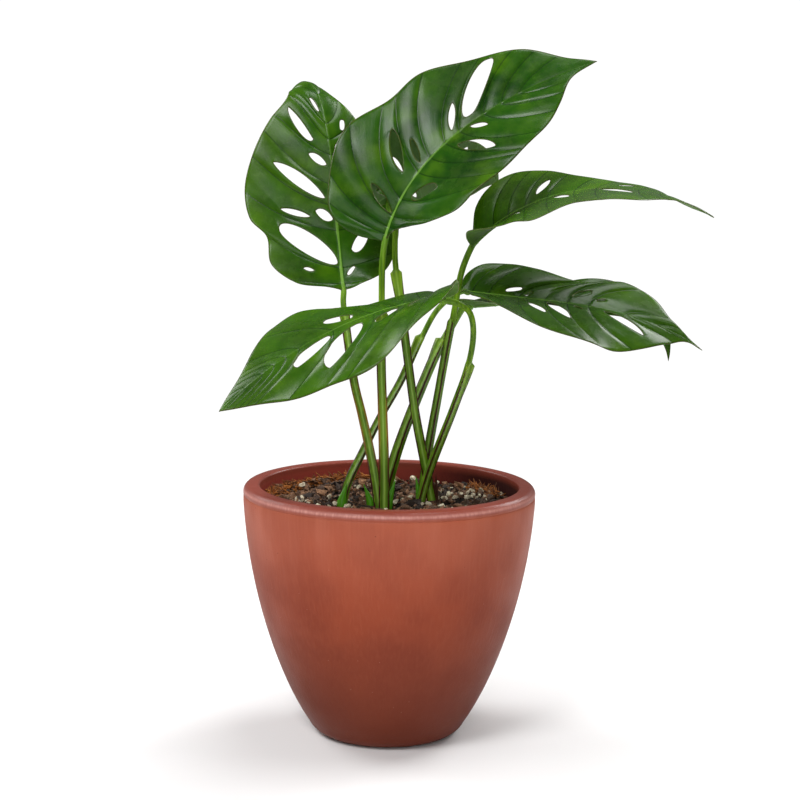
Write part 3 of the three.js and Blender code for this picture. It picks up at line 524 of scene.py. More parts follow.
def soil_height(x, y):
    """Height of the soil bed at a place, in millimetres."""
    swell = 0.9 * np.sin(x * 0.13 + 1.0) * np.cos(y * 0.11) + 0.7 * np.sin(x * 0.31 - y * 0.27)
    bank = sum(high * np.exp(-((x - at_x) ** 2 + (y - at_y) ** 2) / spread)
               for high, at_x, at_y, spread in BANKS)
    return SOIL_LEVEL - SOIL_SINK + swell + bank


# %% Soil bed
CLEARANCE = 0.3
BED_AROUND = 120
BED_RINGS = 59
BED_GRAIN = 0.35

rng = np.random.default_rng(20)
bed_turn = np.linspace(0, 2 * math.pi, BED_AROUND, endpoint=False)
r, a = np.meshgrid(np.linspace(0, OPENING_RADIUS - 1.3, BED_RINGS + 1)[1:], bed_turn, indexing="ij")
top = np.stack([r * np.cos(a), r * np.sin(a), soil_height(r * np.cos(a), r * np.sin(a))], -1)
top[..., 2] += rng.normal(0, BED_GRAIN, top.shape[:2])
wall = inner[inner[:, 1] < SOIL_LEVEL - 6] - np.array([CLEARANCE, 0])
skirt = np.vstack([wall, [(FOOT_RADIUS - 2, FLOOR + CLEARANCE), (AXIS_HOLE, FLOOR + CLEARANCE)]])
points = np.vstack([top.reshape(-1, 3), lathe(skirt, bed_turn)])
faces = [face[::-1] for face in body_faces(len(points) // BED_AROUND, BED_AROUND)]
make_piece("soil_bed", points, faces, [earth], ["soil"], {"tint": np.full(len(points), 0.4)})

# %% [markdown]
# ## Bark chips, perlite and crumbs
# A chip is the hull of a few random points in a flat box, which gives the broken, angular
# outline of real bark. Perlite is rounder, from points that are pulled towards a ball. Hulls
# are made once as a small set of shapes, then turned, scaled and scattered, and each kind
# becomes one mesh.

# %% Random lumps
def hull_shape(count, roundness):
    """A convex lump about 1 across, as points and faces."""
    cloud = rng.uniform(-0.5, 0.5, (count, 3))
    cloud = cloud * (1 - roundness) + 0.5 * unit(cloud) * roundness
    work = bmesh.new()
    for p in cloud:
        work.verts.new(p)
    made = bmesh.ops.convex_hull(work, input=work.verts)
    loose = {v for v in made["geom_interior"] + made["geom_unused"] if isinstance(v, bmesh.types.BMVert)}
    bmesh.ops.delete(work, geom=list(loose), context="VERTS")
    bmesh.ops.recalc_face_normals(work, faces=work.faces)
    work.verts.index_update()
    shape = np.array([v.co[:] for v in work.verts]), [[v.index for v in f.verts] for f in work.faces]
    work.free()
    return shape


chip_shapes = [hull_shape(9, roundness=0.1) for _ in range(14)]
lump_shapes = [hull_shape(13, roundness=0.3) for _ in range(12)]
print(len(chip_shapes), "chip shapes and", len(lump_shapes), "lump shapes")

# %% Scatter helpers
TILT = 0.35  # how far a copy usually tips, in radians
PULL_GAP = 1.4  # gap to the wall that a copy near it is moved to, and the least gap that it keeps
WALL_GAP = 1.0
SPREAD_GAP = 3  # places that are spread over the soil keep this far from the wall


def turned(yaw, pitch, roll):
    """Matrix of three turns, in radians."""
    cy, cp, cr = np.cos([yaw, pitch, roll])
    sy, sp, sr = np.sin([yaw, pitch, roll])
    return np.array([[cy * cp, cy * sp * sr - sy * cr, cy * sp * cr + sy * sr],
                     [sy * cp, sy * sp * sr + cy * cr, sy * sp * cr - cy * sr],
                     [-sp, cp * sr, cp * cr]])


def scatter(name, shapes, places, sizes, flatness, material, tints, lift):
    """Copies of the shapes at places on the soil, joined as one piece.

    lift is how high the middle of a copy lies over the bed, in shares of its thickness.
    """
    points, faces, values, start = [], [], [], 0
    for (x, y), size, tint in zip(places, sizes, tints):
        shape, sides = shapes[rng.integers(len(shapes))]
        scale = size * np.array([1.0, rng.uniform(0.45, 0.8), rng.uniform(*flatness)])
        spin = turned(rng.uniform(0, 2 * math.pi), rng.normal(0, TILT), rng.normal(0, TILT))
        body = (shape * scale) @ spin.T
        reach = np.hypot(body[:, 0] + x, body[:, 1] + y).max()
        pull = min(1.0, (OPENING_RADIUS - PULL_GAP) / reach)
        body += np.array([x * pull, y * pull, soil_height(x, y) + lift * scale[2]])
        over = np.hypot(body[:, 0], body[:, 1]).max() - (OPENING_RADIUS - WALL_GAP)
        if over > 0:
            body[:, :2] -= over * unit(np.array([x, y]))
        points.append(body)
        faces += [[v + start for v in f] for f in sides]
        values += [tint] * len(body)
        start += len(body)
    make_piece(name, np.vstack(points), faces, [material], (), {"tint": values}, smooth=False)


def on_soil(count):
    """Random places spread evenly over the soil."""
    r = (OPENING_RADIUS - SPREAD_GAP) * np.sqrt(rng.uniform(0, 1, count))
    a = rng.uniform(0, 2 * math.pi, count)
    return np.stack([r * np.cos(a), r * np.sin(a)], 1)


# %% Bark chips and perlite
CHIPS = 900
CRUMBS = 2200
PERLITE_LOOSE = 90
NESTS = [(-37, -24, 12), (-20, -18, 9), (46, -10, 10), (28, 14, 12), (40, 16, 9), (12, 2, 8), (-5, 10, 8),
         (50, 22, 8), (26, -14, 8), (-45, -8, 8)]  # place of each nest of perlite and how many lumps it has
NEST_SPREAD = 4.0

scatter("bark_chips", chip_shapes, on_soil(CHIPS), rng.uniform(3.5, 9.5, CHIPS), (0.2, 0.45), bark,
        rng.beta(0.7, 1.4, CHIPS), lift=0.9)
scatter("bark_crumbs", chip_shapes, on_soil(CRUMBS), rng.uniform(1.0, 3.2, CRUMBS), (0.4, 0.8), bark,
        rng.beta(0.9, 1.6, CRUMBS), lift=1.6)
nests = np.vstack([np.array([x, y]) + rng.normal(0, NEST_SPREAD, (n, 2)) for x, y, n in NESTS])
white = np.vstack([nests, on_soil(PERLITE_LOOSE)])
scatter("perlite_lumps", lump_shapes, white, rng.uniform(1.8, 4.4, len(white)), (0.55, 0.85), stone,
        rng.uniform(0.55, 1.0, len(white)), lift=1.35)

# %% [markdown]
# ## Coir
# Tufts of orange-brown coir show at the edge of the soil, at the back on the left and on the
# right. Each fibre is a thin bent tube with five sides, so it stays a real solid, and flat
# flakes of the same stuff lie among them.

# %% Coir fibres
FIBRE_SIDES = 5
FIBRE_RINGS = 7
FIBRES_PER_TUFT = 48
TUFTS = [(compass, 62) for compass in range(100, 192, 4)] + [(compass, 60) for compass in range(24, 44, 4)]


def fibre_rings(compass, radius):
    """Points of one fibre, which starts near a compass angle and radius and bends at random."""
    place = radius * heading(compass + rng.normal(0, 2.2))
    place[2] = SOIL_LEVEL + rng.uniform(-1, 2.6)
    length = rng.uniform(6, 15)
    way = heading(compass + 90 + rng.normal(0, 35), rng.normal(12, 22))
    bent = unit(rng.normal(0, 1, 3)) * rng.uniform(0.5, 2.5)
    t = np.linspace(-0.5, 0.5, FIBRE_RINGS)[:, None]
    middle = place + way * length * t + bent * (1 - 4 * t * t)
    reach = np.hypot(middle[:, 0], middle[:, 1])
    middle[:, :2] *= np.minimum(1, (OPENING_RADIUS - 1.8) / reach)[:, None]
    a_axis = unit(np.cross(way, [0.1, 0.2, 1.0]))
    b_axis = np.cross(way, a_axis)
    turn = np.linspace(0, 2 * math.pi, FIBRE_SIDES, endpoint=False)[None, :, None]
    thick = rng.uniform(0.2, 0.6) * (1 - (2 * t) ** 4 * 0.7)[:, None]
    return (middle[:, None] + thick * (a_axis * np.cos(turn) + b_axis * np.sin(turn))).reshape(-1, 3)


points, faces, tints = [], [], []
for compass, radius in TUFTS:
    for _ in range(FIBRES_PER_TUFT):
        faces += body_faces(FIBRE_RINGS, FIBRE_SIDES, len(tints))
        points.append(fibre_rings(compass, radius))
        tints += [rng.uniform(0.1, 1.0)] * len(points[-1])
make_piece("coir", np.vstack(points), faces, [fibre], (), {"tint": tints})

# %% Coir flakes
FLAKES = 260

tuft = np.array([TUFTS[i] for i in rng.integers(0, len(TUFTS), FLAKES)])
flake_turn = np.radians(tuft[:, 0] + rng.normal(0, 2.5, FLAKES))
flake_reach = tuft[:, 1] - rng.uniform(-1.5, 5, FLAKES)
flakes = np.stack([flake_reach * np.cos(flake_turn), flake_reach * np.sin(flake_turn)], 1)
scatter("coir_flakes", chip_shapes, flakes, rng.uniform(2.0, 5.5, FLAKES), (0.15, 0.35), fibre,
        rng.uniform(0, 1, FLAKES), lift=2.2)

# %% [markdown]
# ## Leaf finishes
# The upper side is waxy: dark green with paler drifts, sunken side veins that look almost
# black, a pale green midrib and a thin brownish rim. The lower side is paler and duller. Both
# let a little light through, as a thin blade does.

# %% Leaf finishes
def leaf_finish(name, body, dark, pale, rib, rim, vein, vein_share, roughness):
    material, tree, shader = start_material(name, Subsurface_Weight=0.12, Subsurface_Scale=0.001,
                                            Subsurface_Radius=(0.5, 1.0, 0.2), Specular_IOR_Level=0.19)
    cloud = use(tree, mottle, Size_mm=26.0, Detail=3.0, Low=0.35, High=0.65)
    small = use(tree, mottle, Size_mm=5.0, Detail=4.0, Low=0.3, High=0.7)
    glow = use(tree, mottle, Size_mm=19.0, Detail=2.0, Low=0.5, High=0.78)
    on_vein = use(tree, line, Distance_mm=attribute(tree, "vein"), Half_width=0.12, Softness=0.5)
    on_rib = use(tree, line, Distance_mm=attribute(tree, "rib"), Half_width=attribute(tree, "rib_width"),
                 Softness=0.45)
    on_rim = use(tree, line, Distance_mm=attribute(tree, "edge"), Half_width=0.2, Softness=0.5)

    colour = layered(tree, body, (dark, cloud), (pale, small, 0.12), (pale, glow, 0.4),
                     (pale, attribute(tree, "tone")), (vein, on_vein, vein_share),
                     (rib, on_rib, attribute(tree, "rib_tone")), (rim, on_rim, 0.8))
    worn = plus(tree, times(tree, small, 0.06), times(tree, cloud, 0.06))
    tree.links.new(plus(tree, worn, roughness), shader.inputs["Roughness"])
    fine_veins = calc(tree, "PINGPONG", times(tree, attribute(tree, "lane"), 3.0), 1.0)
    cells = add(tree, "TexVoronoi", {"feature": "DISTANCE_TO_EDGE"}, Vector=place_in_mm(tree), Scale=0.7)
    net = ramp(tree, cells.outputs["Distance"], 0.0, 0.12)
    relief = plus(tree, times(tree, net, 0.25), times(tree, fine_veins, 0.6))
    dress(tree, shader, colour, relief, 0.1)
    return material


upper = leaf_finish("leaf_upper", body=rgb(29, 74, 6), dark=rgb(17, 53, 4), pale=rgb(88, 130, 8),
                    rib=rgb(116, 162, 62), rim=rgb(70, 70, 30), vein=rgb(10, 42, 4), vein_share=0.65,
                    roughness=0.2)
under = leaf_finish("leaf_under", body=rgb(82, 118, 52), dark=rgb(66, 100, 42), pale=rgb(104, 140, 52),
                    rib=rgb(120, 160, 80), rim=rgb(110, 118, 70), vein=rgb(108, 144, 80), vein_share=0.7,
                    roughness=0.5)
print("leaf finishes:", upper.name, "and", under.name)

# %% [markdown]
# ## Leaf shapes
# A table holds the size, bend, outline, side veins and holes of each leaf.
#
# - Shares of the length run from the base 0 to the tip 1, and shares of the half width from
#   the midrib 0.
# - base is where the stalk meets the blade. run is the direction (compass, climb) of the midrib
#   at its base, middle and tip, and face that of the upper side at base and tip.
# - fold is the rise in degrees of each half, at base and tip. wave is the number of waves along
#   the margin, and where they begin.
# - outline holds the margin points of each half. veins are the places of the side veins on the
#   midrib, ends those on the margin of each half, counted in margin points, and bend is how the
#   veins of each half curve.
# - holes are, for each half, (field, inner end, outer end, width in mm), and for some also the
#   bow in mm and the roundness. Field 0 lies before the first vein.

# %% Leaf table
LEAVES = {
    "leaf_back_left": dict(
        base=(-25, 14, 228), length=148, half=(47, 33),
        run=[(113, 66), (117, 73), (131, -58)], face=[(-90, 11), (-85, 68)],
        fold=[(15, -14), (8, -32)], wave=(5, 0.1),
        outline=[[(0.02, 0.20), (0.04, 0.52), (0.11, 0.76), (0.21, 0.78), (0.28, 0.95), (0.40, 0.98),
                  (0.54, 0.84), (0.68, 0.59), (0.77, 0.32), (0.89, 0.16)],
                 [(0.01, 0.25), (0.05, 0.68), (0.16, 0.93), (0.29, 1.0), (0.42, 0.97), (0.53, 0.78),
                  (0.64, 0.55), (0.75, 0.25), (0.88, 0.14)]],
        veins=[0.024, 0.082, 0.216, 0.302, 0.377, 0.485, 0.542, 0.60, 0.72, 0.86],
        ends=[[2.2, 4.2, 5.85, 6.85, 7.6, 8.2, 9.1, 9.5, 10.0, 10.5],
              [1.5, 2.7, 4.0, 4.8, 5.5, 6.4, 7.0, 7.6, 8.4, 9.3]],
        bend=[(0.21, 0.58), (0.21, 0.58)],
        holes=[[(1, (0.080, 0.30), (0.088, 0.41), 1.8), (2, (0.104, 0.03), (0.226, 0.63), 10.8, 1.4, 0.5),
                (3, (0.258, 0.04), (0.290, 0.22), 5.0), (3, (0.272, 0.29), (0.306, 0.60), 3.0),
                (4, (0.335, 0.11), (0.481, 0.64), 6.6), (5, (0.454, 0.06), (0.499, 0.24), 4.0),
                (6, (0.553, 0.17), (0.706, 0.36), 4.2, -2.2, 0.6), (8, (0.655, 0.05), (0.712, 0.11), 2.6)],
               [(1, (0.058, 0.09), (0.076, 0.22), 2.6), (2, (0.146, 0.20), (0.190, 0.48), 6.9),
                (6, (0.505, 0.08), (0.525, 0.17), 2.5), (7, (0.581, 0.24), (0.613, 0.34), 3.7)]]),
    "leaf_top": dict(
        base=(-4, -14, 255), length=145, half=(39, 36),
        run=[(20, 76), (8, 37), (0, 19)], face=[(-103, 23), (-88, 41)],
        fold=[(12, -1), (33, 7)], wave=(5, 0.35),
        outline=[[(0.00, 0.40), (0.04, 0.77), (0.13, 0.99), (0.25, 1.13), (0.38, 0.98), (0.50, 0.98),
                  (0.64, 0.79), (0.80, 0.57), (0.92, 0.20)],
                 [(0.04, 0.11), (0.08, 0.40), (0.12, 0.72), (0.21, 0.98), (0.33, 1.02), (0.45, 1.02),
                  (0.58, 0.94), (0.72, 0.77), (0.82, 0.47), (0.90, 0.13)]],
        veins=[0.025, 0.05, 0.09, 0.155, 0.265, 0.33, 0.402, 0.467, 0.57, 0.64, 0.71],
        ends=[[2.3, 3.0, 4.1, 4.85, 5.2, 6.0, 6.8, 7.15, 7.75, 8.2, 8.7],
              [0.6, 1.3, 3.4, 5.35, 6.1, 7.0, 7.2, 7.85, 8.7, 9.35, 9.8]],
        bend=[(0.23, 0.49), (0.06, 0.60)],
        holes=[[(3, (0.102, 0.04), (0.156, 0.43), 4.2), (4, (0.238, 0.17), (0.321, 0.65), 5.1),
                (5, (0.297, 0.07), (0.336, 0.37), 2.8), (7, (0.450, 0.08), (0.509, 0.38), 3.2),
                (8, (0.528, 0.09), (0.686, 0.66), 8.6, -0.8, 0.35)],
               [(4, (0.184, 0.16), (0.251, 0.45), 7.4), (7, (0.430, 0.18), (0.524, 0.61), 6.8),
                (8, (0.508, 0.05), (0.555, 0.21), 2.9)]]),
    "leaf_front_left": dict(
        base=(25, -27, 228), length=130, half=(46, 35),
        run=[(202, -4), (209, -23), (199, -42)], face=[(-80, 90), (-94, 43)],
        fold=[(24, 2), (6, -18)], wave=(4, 0.6),
        outline=[[(-0.035, 0.24), (0.06, 0.80), (0.17, 1.07), (0.31, 1.05), (0.45, 1.03), (0.57, 0.93),
                  (0.68, 0.72), (0.79, 0.50), (0.90, 0.24)],
                 [(-0.04, 0.24), (-0.03, 0.50), (0.06, 0.48), (0.22, 0.53), (0.35, 0.71), (0.46, 1.12),
                  (0.59, 0.97), (0.72, 0.63), (0.86, 0.27)]],
        veins=[0.02, 0.07, 0.19, 0.295, 0.47, 0.62, 0.68, 0.735, 0.79, 0.87],
        ends=[[2.4, 4.8, 6.4, 7.0, 8.1, 8.95, 9.2, 9.4, 9.6, 9.8],
              [1.6, 2.9, 4.2, 5.2, 7.6, 8.5, 8.85, 9.05, 9.3, 9.6]],
        bend=[(0.13, 0.74), (0.05, 0.67)],
        holes=[[(2, (0.165, 0.35), (0.215, 0.52), 4.5), (3, (0.240, 0.19), (0.337, 0.39), 8.0),
                (4, (0.391, 0.14), (0.610, 0.54), 12.5), (5, (0.518, 0.06), (0.685, 0.24), 8.5)],
               [(4, (0.373, 0.13), (0.433, 0.43), 9.5)]]),
    "leaf_upper_right": dict(
        base=(40, 4, 252), length=133, half=(34, 46),
        run=[(3, 48), (-18, 8), (-12, -31)], face=[(-98, 10), (-88, 81)],
        fold=[(-40, -24), (95, 16)], wave=(4, 0.2),
        outline=[[(0.05, 0.26), (0.10, 0.63), (0.17, 0.87), (0.25, 0.98), (0.34, 0.85), (0.44, 0.61),
                  (0.56, 0.56), (0.68, 0.50), (0.80, 0.40), (0.91, 0.25)],
                 [(0.01, 0.50), (0.05, 0.90), (0.16, 0.86), (0.24, 0.90), (0.35, 1.12), (0.48, 0.76),
                  (0.61, 0.98), (0.74, 0.82), (0.82, 0.45), (0.92, 0.25)]],
        veins=[0.116, 0.182, 0.255, 0.345, 0.455, 0.54, 0.70, 0.78, 0.88],
        ends=[[4.0, 4.5, 5.1, 5.8, 6.6, 7.3, 8.3, 9.0, 10.0], [2.6, 3.4, 4.6, 5.5, 6.4, 7.2, 8.5, 9.2, 10.1]],
        bend=[(0.18, 0.41), (0.18, 0.50)],
        holes=[[(3, (0.308, 0.20), (0.354, 0.52), 3.8), (6, (0.62, 0.15), (0.68, 0.38), 3.0)],
               [(2, (0.205, 0.12), (0.245, 0.36), 3.2), (4, (0.378, 0.05), (0.450, 0.30), 4.5),
                (6, (0.560, 0.05), (0.700, 0.36), 6.5)]]),
    "leaf_right": dict(
        base=(35, 10, 229), length=128, half=(28, 38),
        run=[(-12, -7), (-7, -8), (-8, -35)], face=[(-90, 72), (-88, 48)],
        fold=[(18, -2), (27, 4)], wave=(4, 0.75),
        outline=[[(0.00, 0.45), (0.07, 0.87), (0.17, 1.01), (0.29, 0.88), (0.43, 0.74), (0.55, 0.80),
                  (0.64, 0.86), (0.76, 0.68), (0.84, 0.29), (0.92, 0.08)],
                 [(0.03, 0.40), (0.10, 0.80), (0.20, 0.95), (0.33, 1.03), (0.46, 1.05), (0.58, 0.98),
                  (0.67, 0.87), (0.78, 0.58), (0.86, 0.27), (0.92, 0.05)]],
        veins=[0.047, 0.114, 0.235, 0.34, 0.43, 0.515, 0.67, 0.80],
        ends=[[2.9, 3.6, 5.4, 6.15, 6.5, 7.5, 9.0, 9.6], [1.8, 3.0, 4.15, 5.5, 6.2, 7.55, 9.4, 10.1]],
        bend=[(0.04, 0.61), (0.12, 0.72)],
        holes=[[(2, (0.185, 0.12), (0.238, 0.26), 3.3), (3, (0.262, 0.07), (0.282, 0.20), 1.8),
                (5, (0.450, 0.21), (0.512, 0.45), 4.0), (6, (0.545, 0.19), (0.572, 0.27), 2.0)],
               [(3, (0.289, 0.26), (0.352, 0.55), 5.0), (4, (0.356, 0.06), (0.450, 0.50), 6.2),
                (5, (0.462, 0.06), (0.490, 0.14), 1.8), (6, (0.583, 0.06), (0.755, 0.36), 5.4)]]),
    "leaf_behind": dict(
        base=(-3, 8, 273), length=100, half=(26, 32),
        run=[(58, 48), (48, 6), (46, -36)], face=[(116, 8), (128, 24)],
        fold=[(8, 4), (-8, -4)], wave=(4, 0.5),
        outline=[[(-0.03, 0.24), (0.08, 0.55), (0.27, 0.85), (0.50, 1.0), (0.72, 0.98), (0.86, 0.72),
                  (0.94, 0.34)],
                 [(-0.09, 0.24), (-0.08, 0.52), (0.05, 0.75), (0.20, 0.93), (0.30, 0.80), (0.42, 0.52),
                  (0.58, 0.37), (0.74, 0.36), (0.88, 0.24)]],
        veins=[0.05, 0.13, 0.27, 0.44, 0.60, 0.74],
        ends=[[1.6, 2.6, 3.6, 4.3, 5.0, 5.8], [1.0, 3.0, 3.9, 5.2, 6.9, 7.9]],
        bend=[(0.25, 0.55), (0.25, 0.55)],
        holes=[[(2, (0.235, 0.36), (0.285, 0.58), 3.0)],
               [(1, (0.03, 0.11), (0.0, 0.33), 1.8), (2, (0.20, 0.135), (0.17, 0.47), 2.0),
                (5, (0.66, 0.10), (0.673, 0.25), 3.0)]]),
    "leaf_under": dict(
        base=(37, 18, 220.5), length=126, half=(14, 11),
        run=[(0, 1), (2, 0), (-2, -90)], face=[(-108, 98), (-86, 12)],
        fold=[(17, -3), (25, -9)], wave=(4, 0.0),
        outline=[[(-0.06, 0.42), (0.17, 0.93), (0.45, 1.0), (0.70, 0.74), (0.88, 0.27)]] * 2,
        veins=[0.05, 0.13, 0.27, 0.44, 0.64], ends=[[1.2, 2.1, 3.0, 3.9, 4.8]] * 2, bend=[(0.25, 0.55)] * 2,
        holes=[[(2, (0.21, 0.15), (0.28, 0.45), 3.6), (3, (0.40, 0.2), (0.50, 0.6), 4.0)],
               [(2, (0.21, 0.15), (0.28, 0.45), 2.6), (3, (0.40, 0.2), (0.50, 0.6), 3.0)]]),
}
print(len(LEAVES), "leaves")

# %% [markdown]
# ## Grid of a leaf
# A blade is a grid of columns that follow the side veins and rows from the midrib to the
# margin. Holes lie in the fields between two side veins: the column in the middle of a field
# splits in two and opens into an oval. The grid follows each hole, so its rim is smooth. The
# flat grid is then laid on the bent midrib, folded, waved and puffed up between the veins.

# %% Midrib of a leaf
WAVE = 0.9  # height of the waves at the margin
BEHIND = -0.2  # the line of the midrib begins here, as some blades reach back past the stalk
END_FADE = 6  # waves and swelling come in over a sixth of the margin from each end


def spine(leaf):
    """A function that gives place, direction and upper normal of the midrib at a share of its length."""
    t = np.linspace(BEHIND, 1.0, 241)
    c = np.clip(t, 0, 1)[:, None]
    d0, d1, d2 = (heading(*h) for h in leaf["run"])
    f0, f1 = (heading(*h) for h in leaf["face"])
    ahead = unit(d0 * (1 - c) * (1 - 2 * c) + d1 * 4 * c * (1 - c) + d2 * c * (2 * c - 1))
    step = (t[1] - t[0]) * leaf["length"]
    at = np.vstack([np.zeros(3), np.cumsum((ahead[1:] + ahead[:-1]) * 0.5 * step, axis=0)])
    at += np.array(leaf["base"]) - at[np.abs(t).argmin()]
    up = f0 * (1 - c) + f1 * c
    up = unit(up - ahead * (up * ahead).sum(-1, keepdims=True))

    def bone(share):
        share = np.clip(share, t[0], t[-1])
        place, forward, upward = (np.stack([np.interp(share, t, table[:, k]) for k in range(3)], -1)
                                  for table in (at, ahead, up))
        return place, unit(forward), unit(upward)
    return bone


def blade_surface(leaf, bone, side, flat, p, s, bulge):
    """Middle face of the blade at a flat place (along, across) in mm, p along the margin, s across."""
    share = flat[..., 0] / leaf["length"]
    across = flat[..., 1]
    at, ahead, up = bone(share)
    out = np.cross(up, ahead) * (1 if side == 0 else -1)
    fold_base, fold_tip = leaf["fold"][side]
    angle = np.radians(fold_tip + (fold_base - fold_tip) * (1 - np.clip(share, 0, 1)) ** 2)
    fade = np.minimum(1, END_FADE * (1 - p)) * np.minimum(1, END_FADE * p)
    waves, first_wave = leaf["wave"]
    wave = WAVE * s * s * np.sin(2 * np.pi * (waves * p + first_wave + 0.5 * side)) * fade
    rise = across * np.sin(angle) + wave + bulge * fade
    return at + out * (across * np.cos(angle))[..., None] + up * rise[..., None]


# %% Veins, margin and holes
ROWS = 50
LANES = 10  # columns from the middle of a field to the next side vein
PLAIN_HOLE = (0.0, 0.75)  # bow, and roundness: 0.5 gives a hole the ends of an ellipse, 1 pointed ends
HOLE_ROWS = 8  # a hole is at least this many rows long
HOLE_SLANT = 0.5  # least cosine of the slant of the veins across a hole


def margin(leaf, side, p):
    """Flat place on the margin, p from 0 at the base to 1 at the tip."""
    size = np.array([leaf["length"], leaf["half"][side]])
    return through(np.array([(0, 0), *leaf["outline"][side], (1, 0)]) * size, p)


def vein_path(leaf, side, root, end, s):
    """Flat path of a side vein from the midrib to the margin."""
    stop = margin(leaf, side, np.array(end / (len(leaf["outline"][side]) + 1)))
    start = np.array([root * leaf["length"], 0])
    bent = start + (stop - start) * leaf["bend"][side]
    w = s[:, None]
    return (1 - w) ** 2 * start + 2 * w * (1 - w) * bent + w * w * stop


def field_path(path, low, high, holes, size):
    """Both edges of the column between the veins low and high, which parts round each hole."""
    near, far = path.copy(), path.copy()
    reach = np.concatenate([[0], np.cumsum(np.linalg.norm(np.diff(path, axis=0), axis=1))])
    stops = [(0, path[0])]
    for _, *hole_ends, _ in (hole[:4] for hole in holes):
        inner_end, outer_end = (np.array(place) * size for place in hole_ends)
        first = max(int(np.linalg.norm(path - inner_end, axis=1).argmin()), stops[-1][0] + 2)
        last = max(int(np.linalg.norm(path - outer_end, axis=1).argmin()), first + HOLE_ROWS)
        stops += [(first, inner_end), (min(last, len(path) - 3), outer_end)]
    stops.append((len(path) - 1, path[-1]))
    for k, ((i, a), (j, b)) in enumerate(zip(stops[:-1], stops[1:])):
        in_hole = k % 2 == 1
        turn = np.linspace(0, math.pi, j - i + 1)
        share = (1 - np.cos(turn)) / 2 if in_hole else (reach[i:j + 1] - reach[i]) / (reach[j] - reach[i])
        if holes:
            near[i:j + 1] = a + (b - a) * share[:, None]
        far[i:j + 1] = near[i:j + 1]
        if in_hole:
            square = unit(np.array([b[1] - a[1], a[0] - b[0]]))
            aside = unit(high[i:j + 1] - low[i:j + 1])
            aside = aside / np.maximum(aside @ square, HOLE_SLANT)[:, None]
            width, (bow, roundness) = holes[k // 2][3], holes[k // 2][4:] or PLAIN_HOLE
            swell = np.sin(turn).clip(0)
            swell[-1] = 0
            near[i:j + 1] += aside * (bow * swell - width / 2 * swell ** (2 * roundness))[:, None]
            far[i:j + 1] += aside * (bow * swell + width / 2 * swell ** (2 * roundness))[:, None]
    return near, far


# %% Fine grid of a leaf
ROW_CROWDING = 1.2  # over 1, the rows lie closer together near the midrib
LANE_CROWDING = 1.25  # over 1, the columns lie closer together near the side veins
QUILT = (0.6, 1.4)  # least and most rise of a field whose side veins are QUILT_WIDTH apart or more
QUILT_WIDTH = 14
QUILT_LEAST = 0.15  # share of that rise in a very narrow field
CREASE = 1.3  # how far from a vein the blade has mostly risen
SINK = 0.3  # depth of the veins
NO_VEIN = 9.0  # distance that is stored where a field has no vein on that side


def puffed(reach, x, width, across, quilt):
    """Rise of the blade, by the distance to the vein and the share x towards the field's middle."""
    rounded = (1 - np.exp(-reach / CREASE) * (1 - x)) * np.sin(x * np.pi / 2) ** 0.5
    rise = quilt * np.clip(width / QUILT_WIDTH, QUILT_LEAST, 1) * rounded
    return (rise - SINK) * np.sin(np.pi * across) ** 0.6


def leaf_grid(leaf):
    """Points, quads and stored values of the middle face of a blade."""
    bone = spine(leaf)
    s = np.linspace(0, 1, ROWS + 1) ** ROW_CROWDING
    x = np.linspace(0, 1, LANES + 1)[:, None] ** LANE_CROWDING
    across = s + 0 * x
    points, quads, values, start = [], [], [], 0
    for side in (0, 1):
        size = np.array([leaf["length"], leaf["half"][side]])
        last_end = len(leaf["outline"][side]) + 1
        roots = [0.0, *leaf["veins"], 1.0]
        ends = [0.0, *leaf["ends"][side], last_end]
        veins = [vein_path(leaf, side, root, end, s) for root, end in zip(roots, ends)]
        for field in range(len(roots) - 1):
            end = (ends[field] + ends[field + 1]) / 2
            path = vein_path(leaf, side, (roots[field] + roots[field + 1]) / 2, end, s)
            holes = [hole for hole in leaf["holes"][side] if hole[0] == field]
            edges = field_path(path, veins[field], veins[field + 1], holes, size)
            width = np.linalg.norm(veins[field + 1] - veins[field], axis=-1)
            quilt = rng.uniform(*QUILT)
            for half, (vein_line, middle) in enumerate(zip(veins[field:field + 2], edges)):
                vein_end = ends[field + half]
                p = (vein_end + (end - vein_end) * x) / last_end + 0 * s
                flat = vein_line + (middle - vein_line) * x[..., None]
                flat = flat + (margin(leaf, side, p[:, -1:]) - flat[:, -1:]) * (across ** 3)[..., None]
                reach = np.linalg.norm(flat - vein_line, axis=-1)
                bulge = puffed(reach, x, width, across, quilt)
                grid = blade_surface(leaf, bone, side, flat, p, across, bulge)
                rib = np.linalg.norm(grid - grid[:, :1], axis=-1)
                if (field, half) in ((0, 0), (len(roots) - 2, 1)):
                    reach = np.full_like(reach, NO_VEIN)
                ids = start + np.arange(across.size).reshape(across.shape)
                cells = np.stack([ids[:-1, :-1], ids[1:, :-1], ids[1:, 1:], ids[:-1, 1:]], -1)
                cells = cells.reshape(-1, 4)
                quads.append(cells if (side + half) % 2 == 0 else cells[:, ::-1])
                points.append(grid.reshape(-1, 3))
                share = flat[..., 0] / leaf["length"]
                values.append(np.stack([reach, rib, share, across, x + 0 * across], -1).reshape(-1, 5))
                start += ids.size
    return np.vstack(points), np.vstack(quads), np.vstack(values)


# %% [markdown]
# ## Two skins
# Equal points are merged first. Then each blade gets an upper and a lower skin, and a narrow
# wall along its margin and round each hole. The midrib stands out on both sides, more under
# the blade than over it, and is thick at the stalk and thin at the tip. The side veins make
# low ridges underneath.

# %% Merged points and their normals
WELD = 1e-3  # points are compared in steps of this, in mm


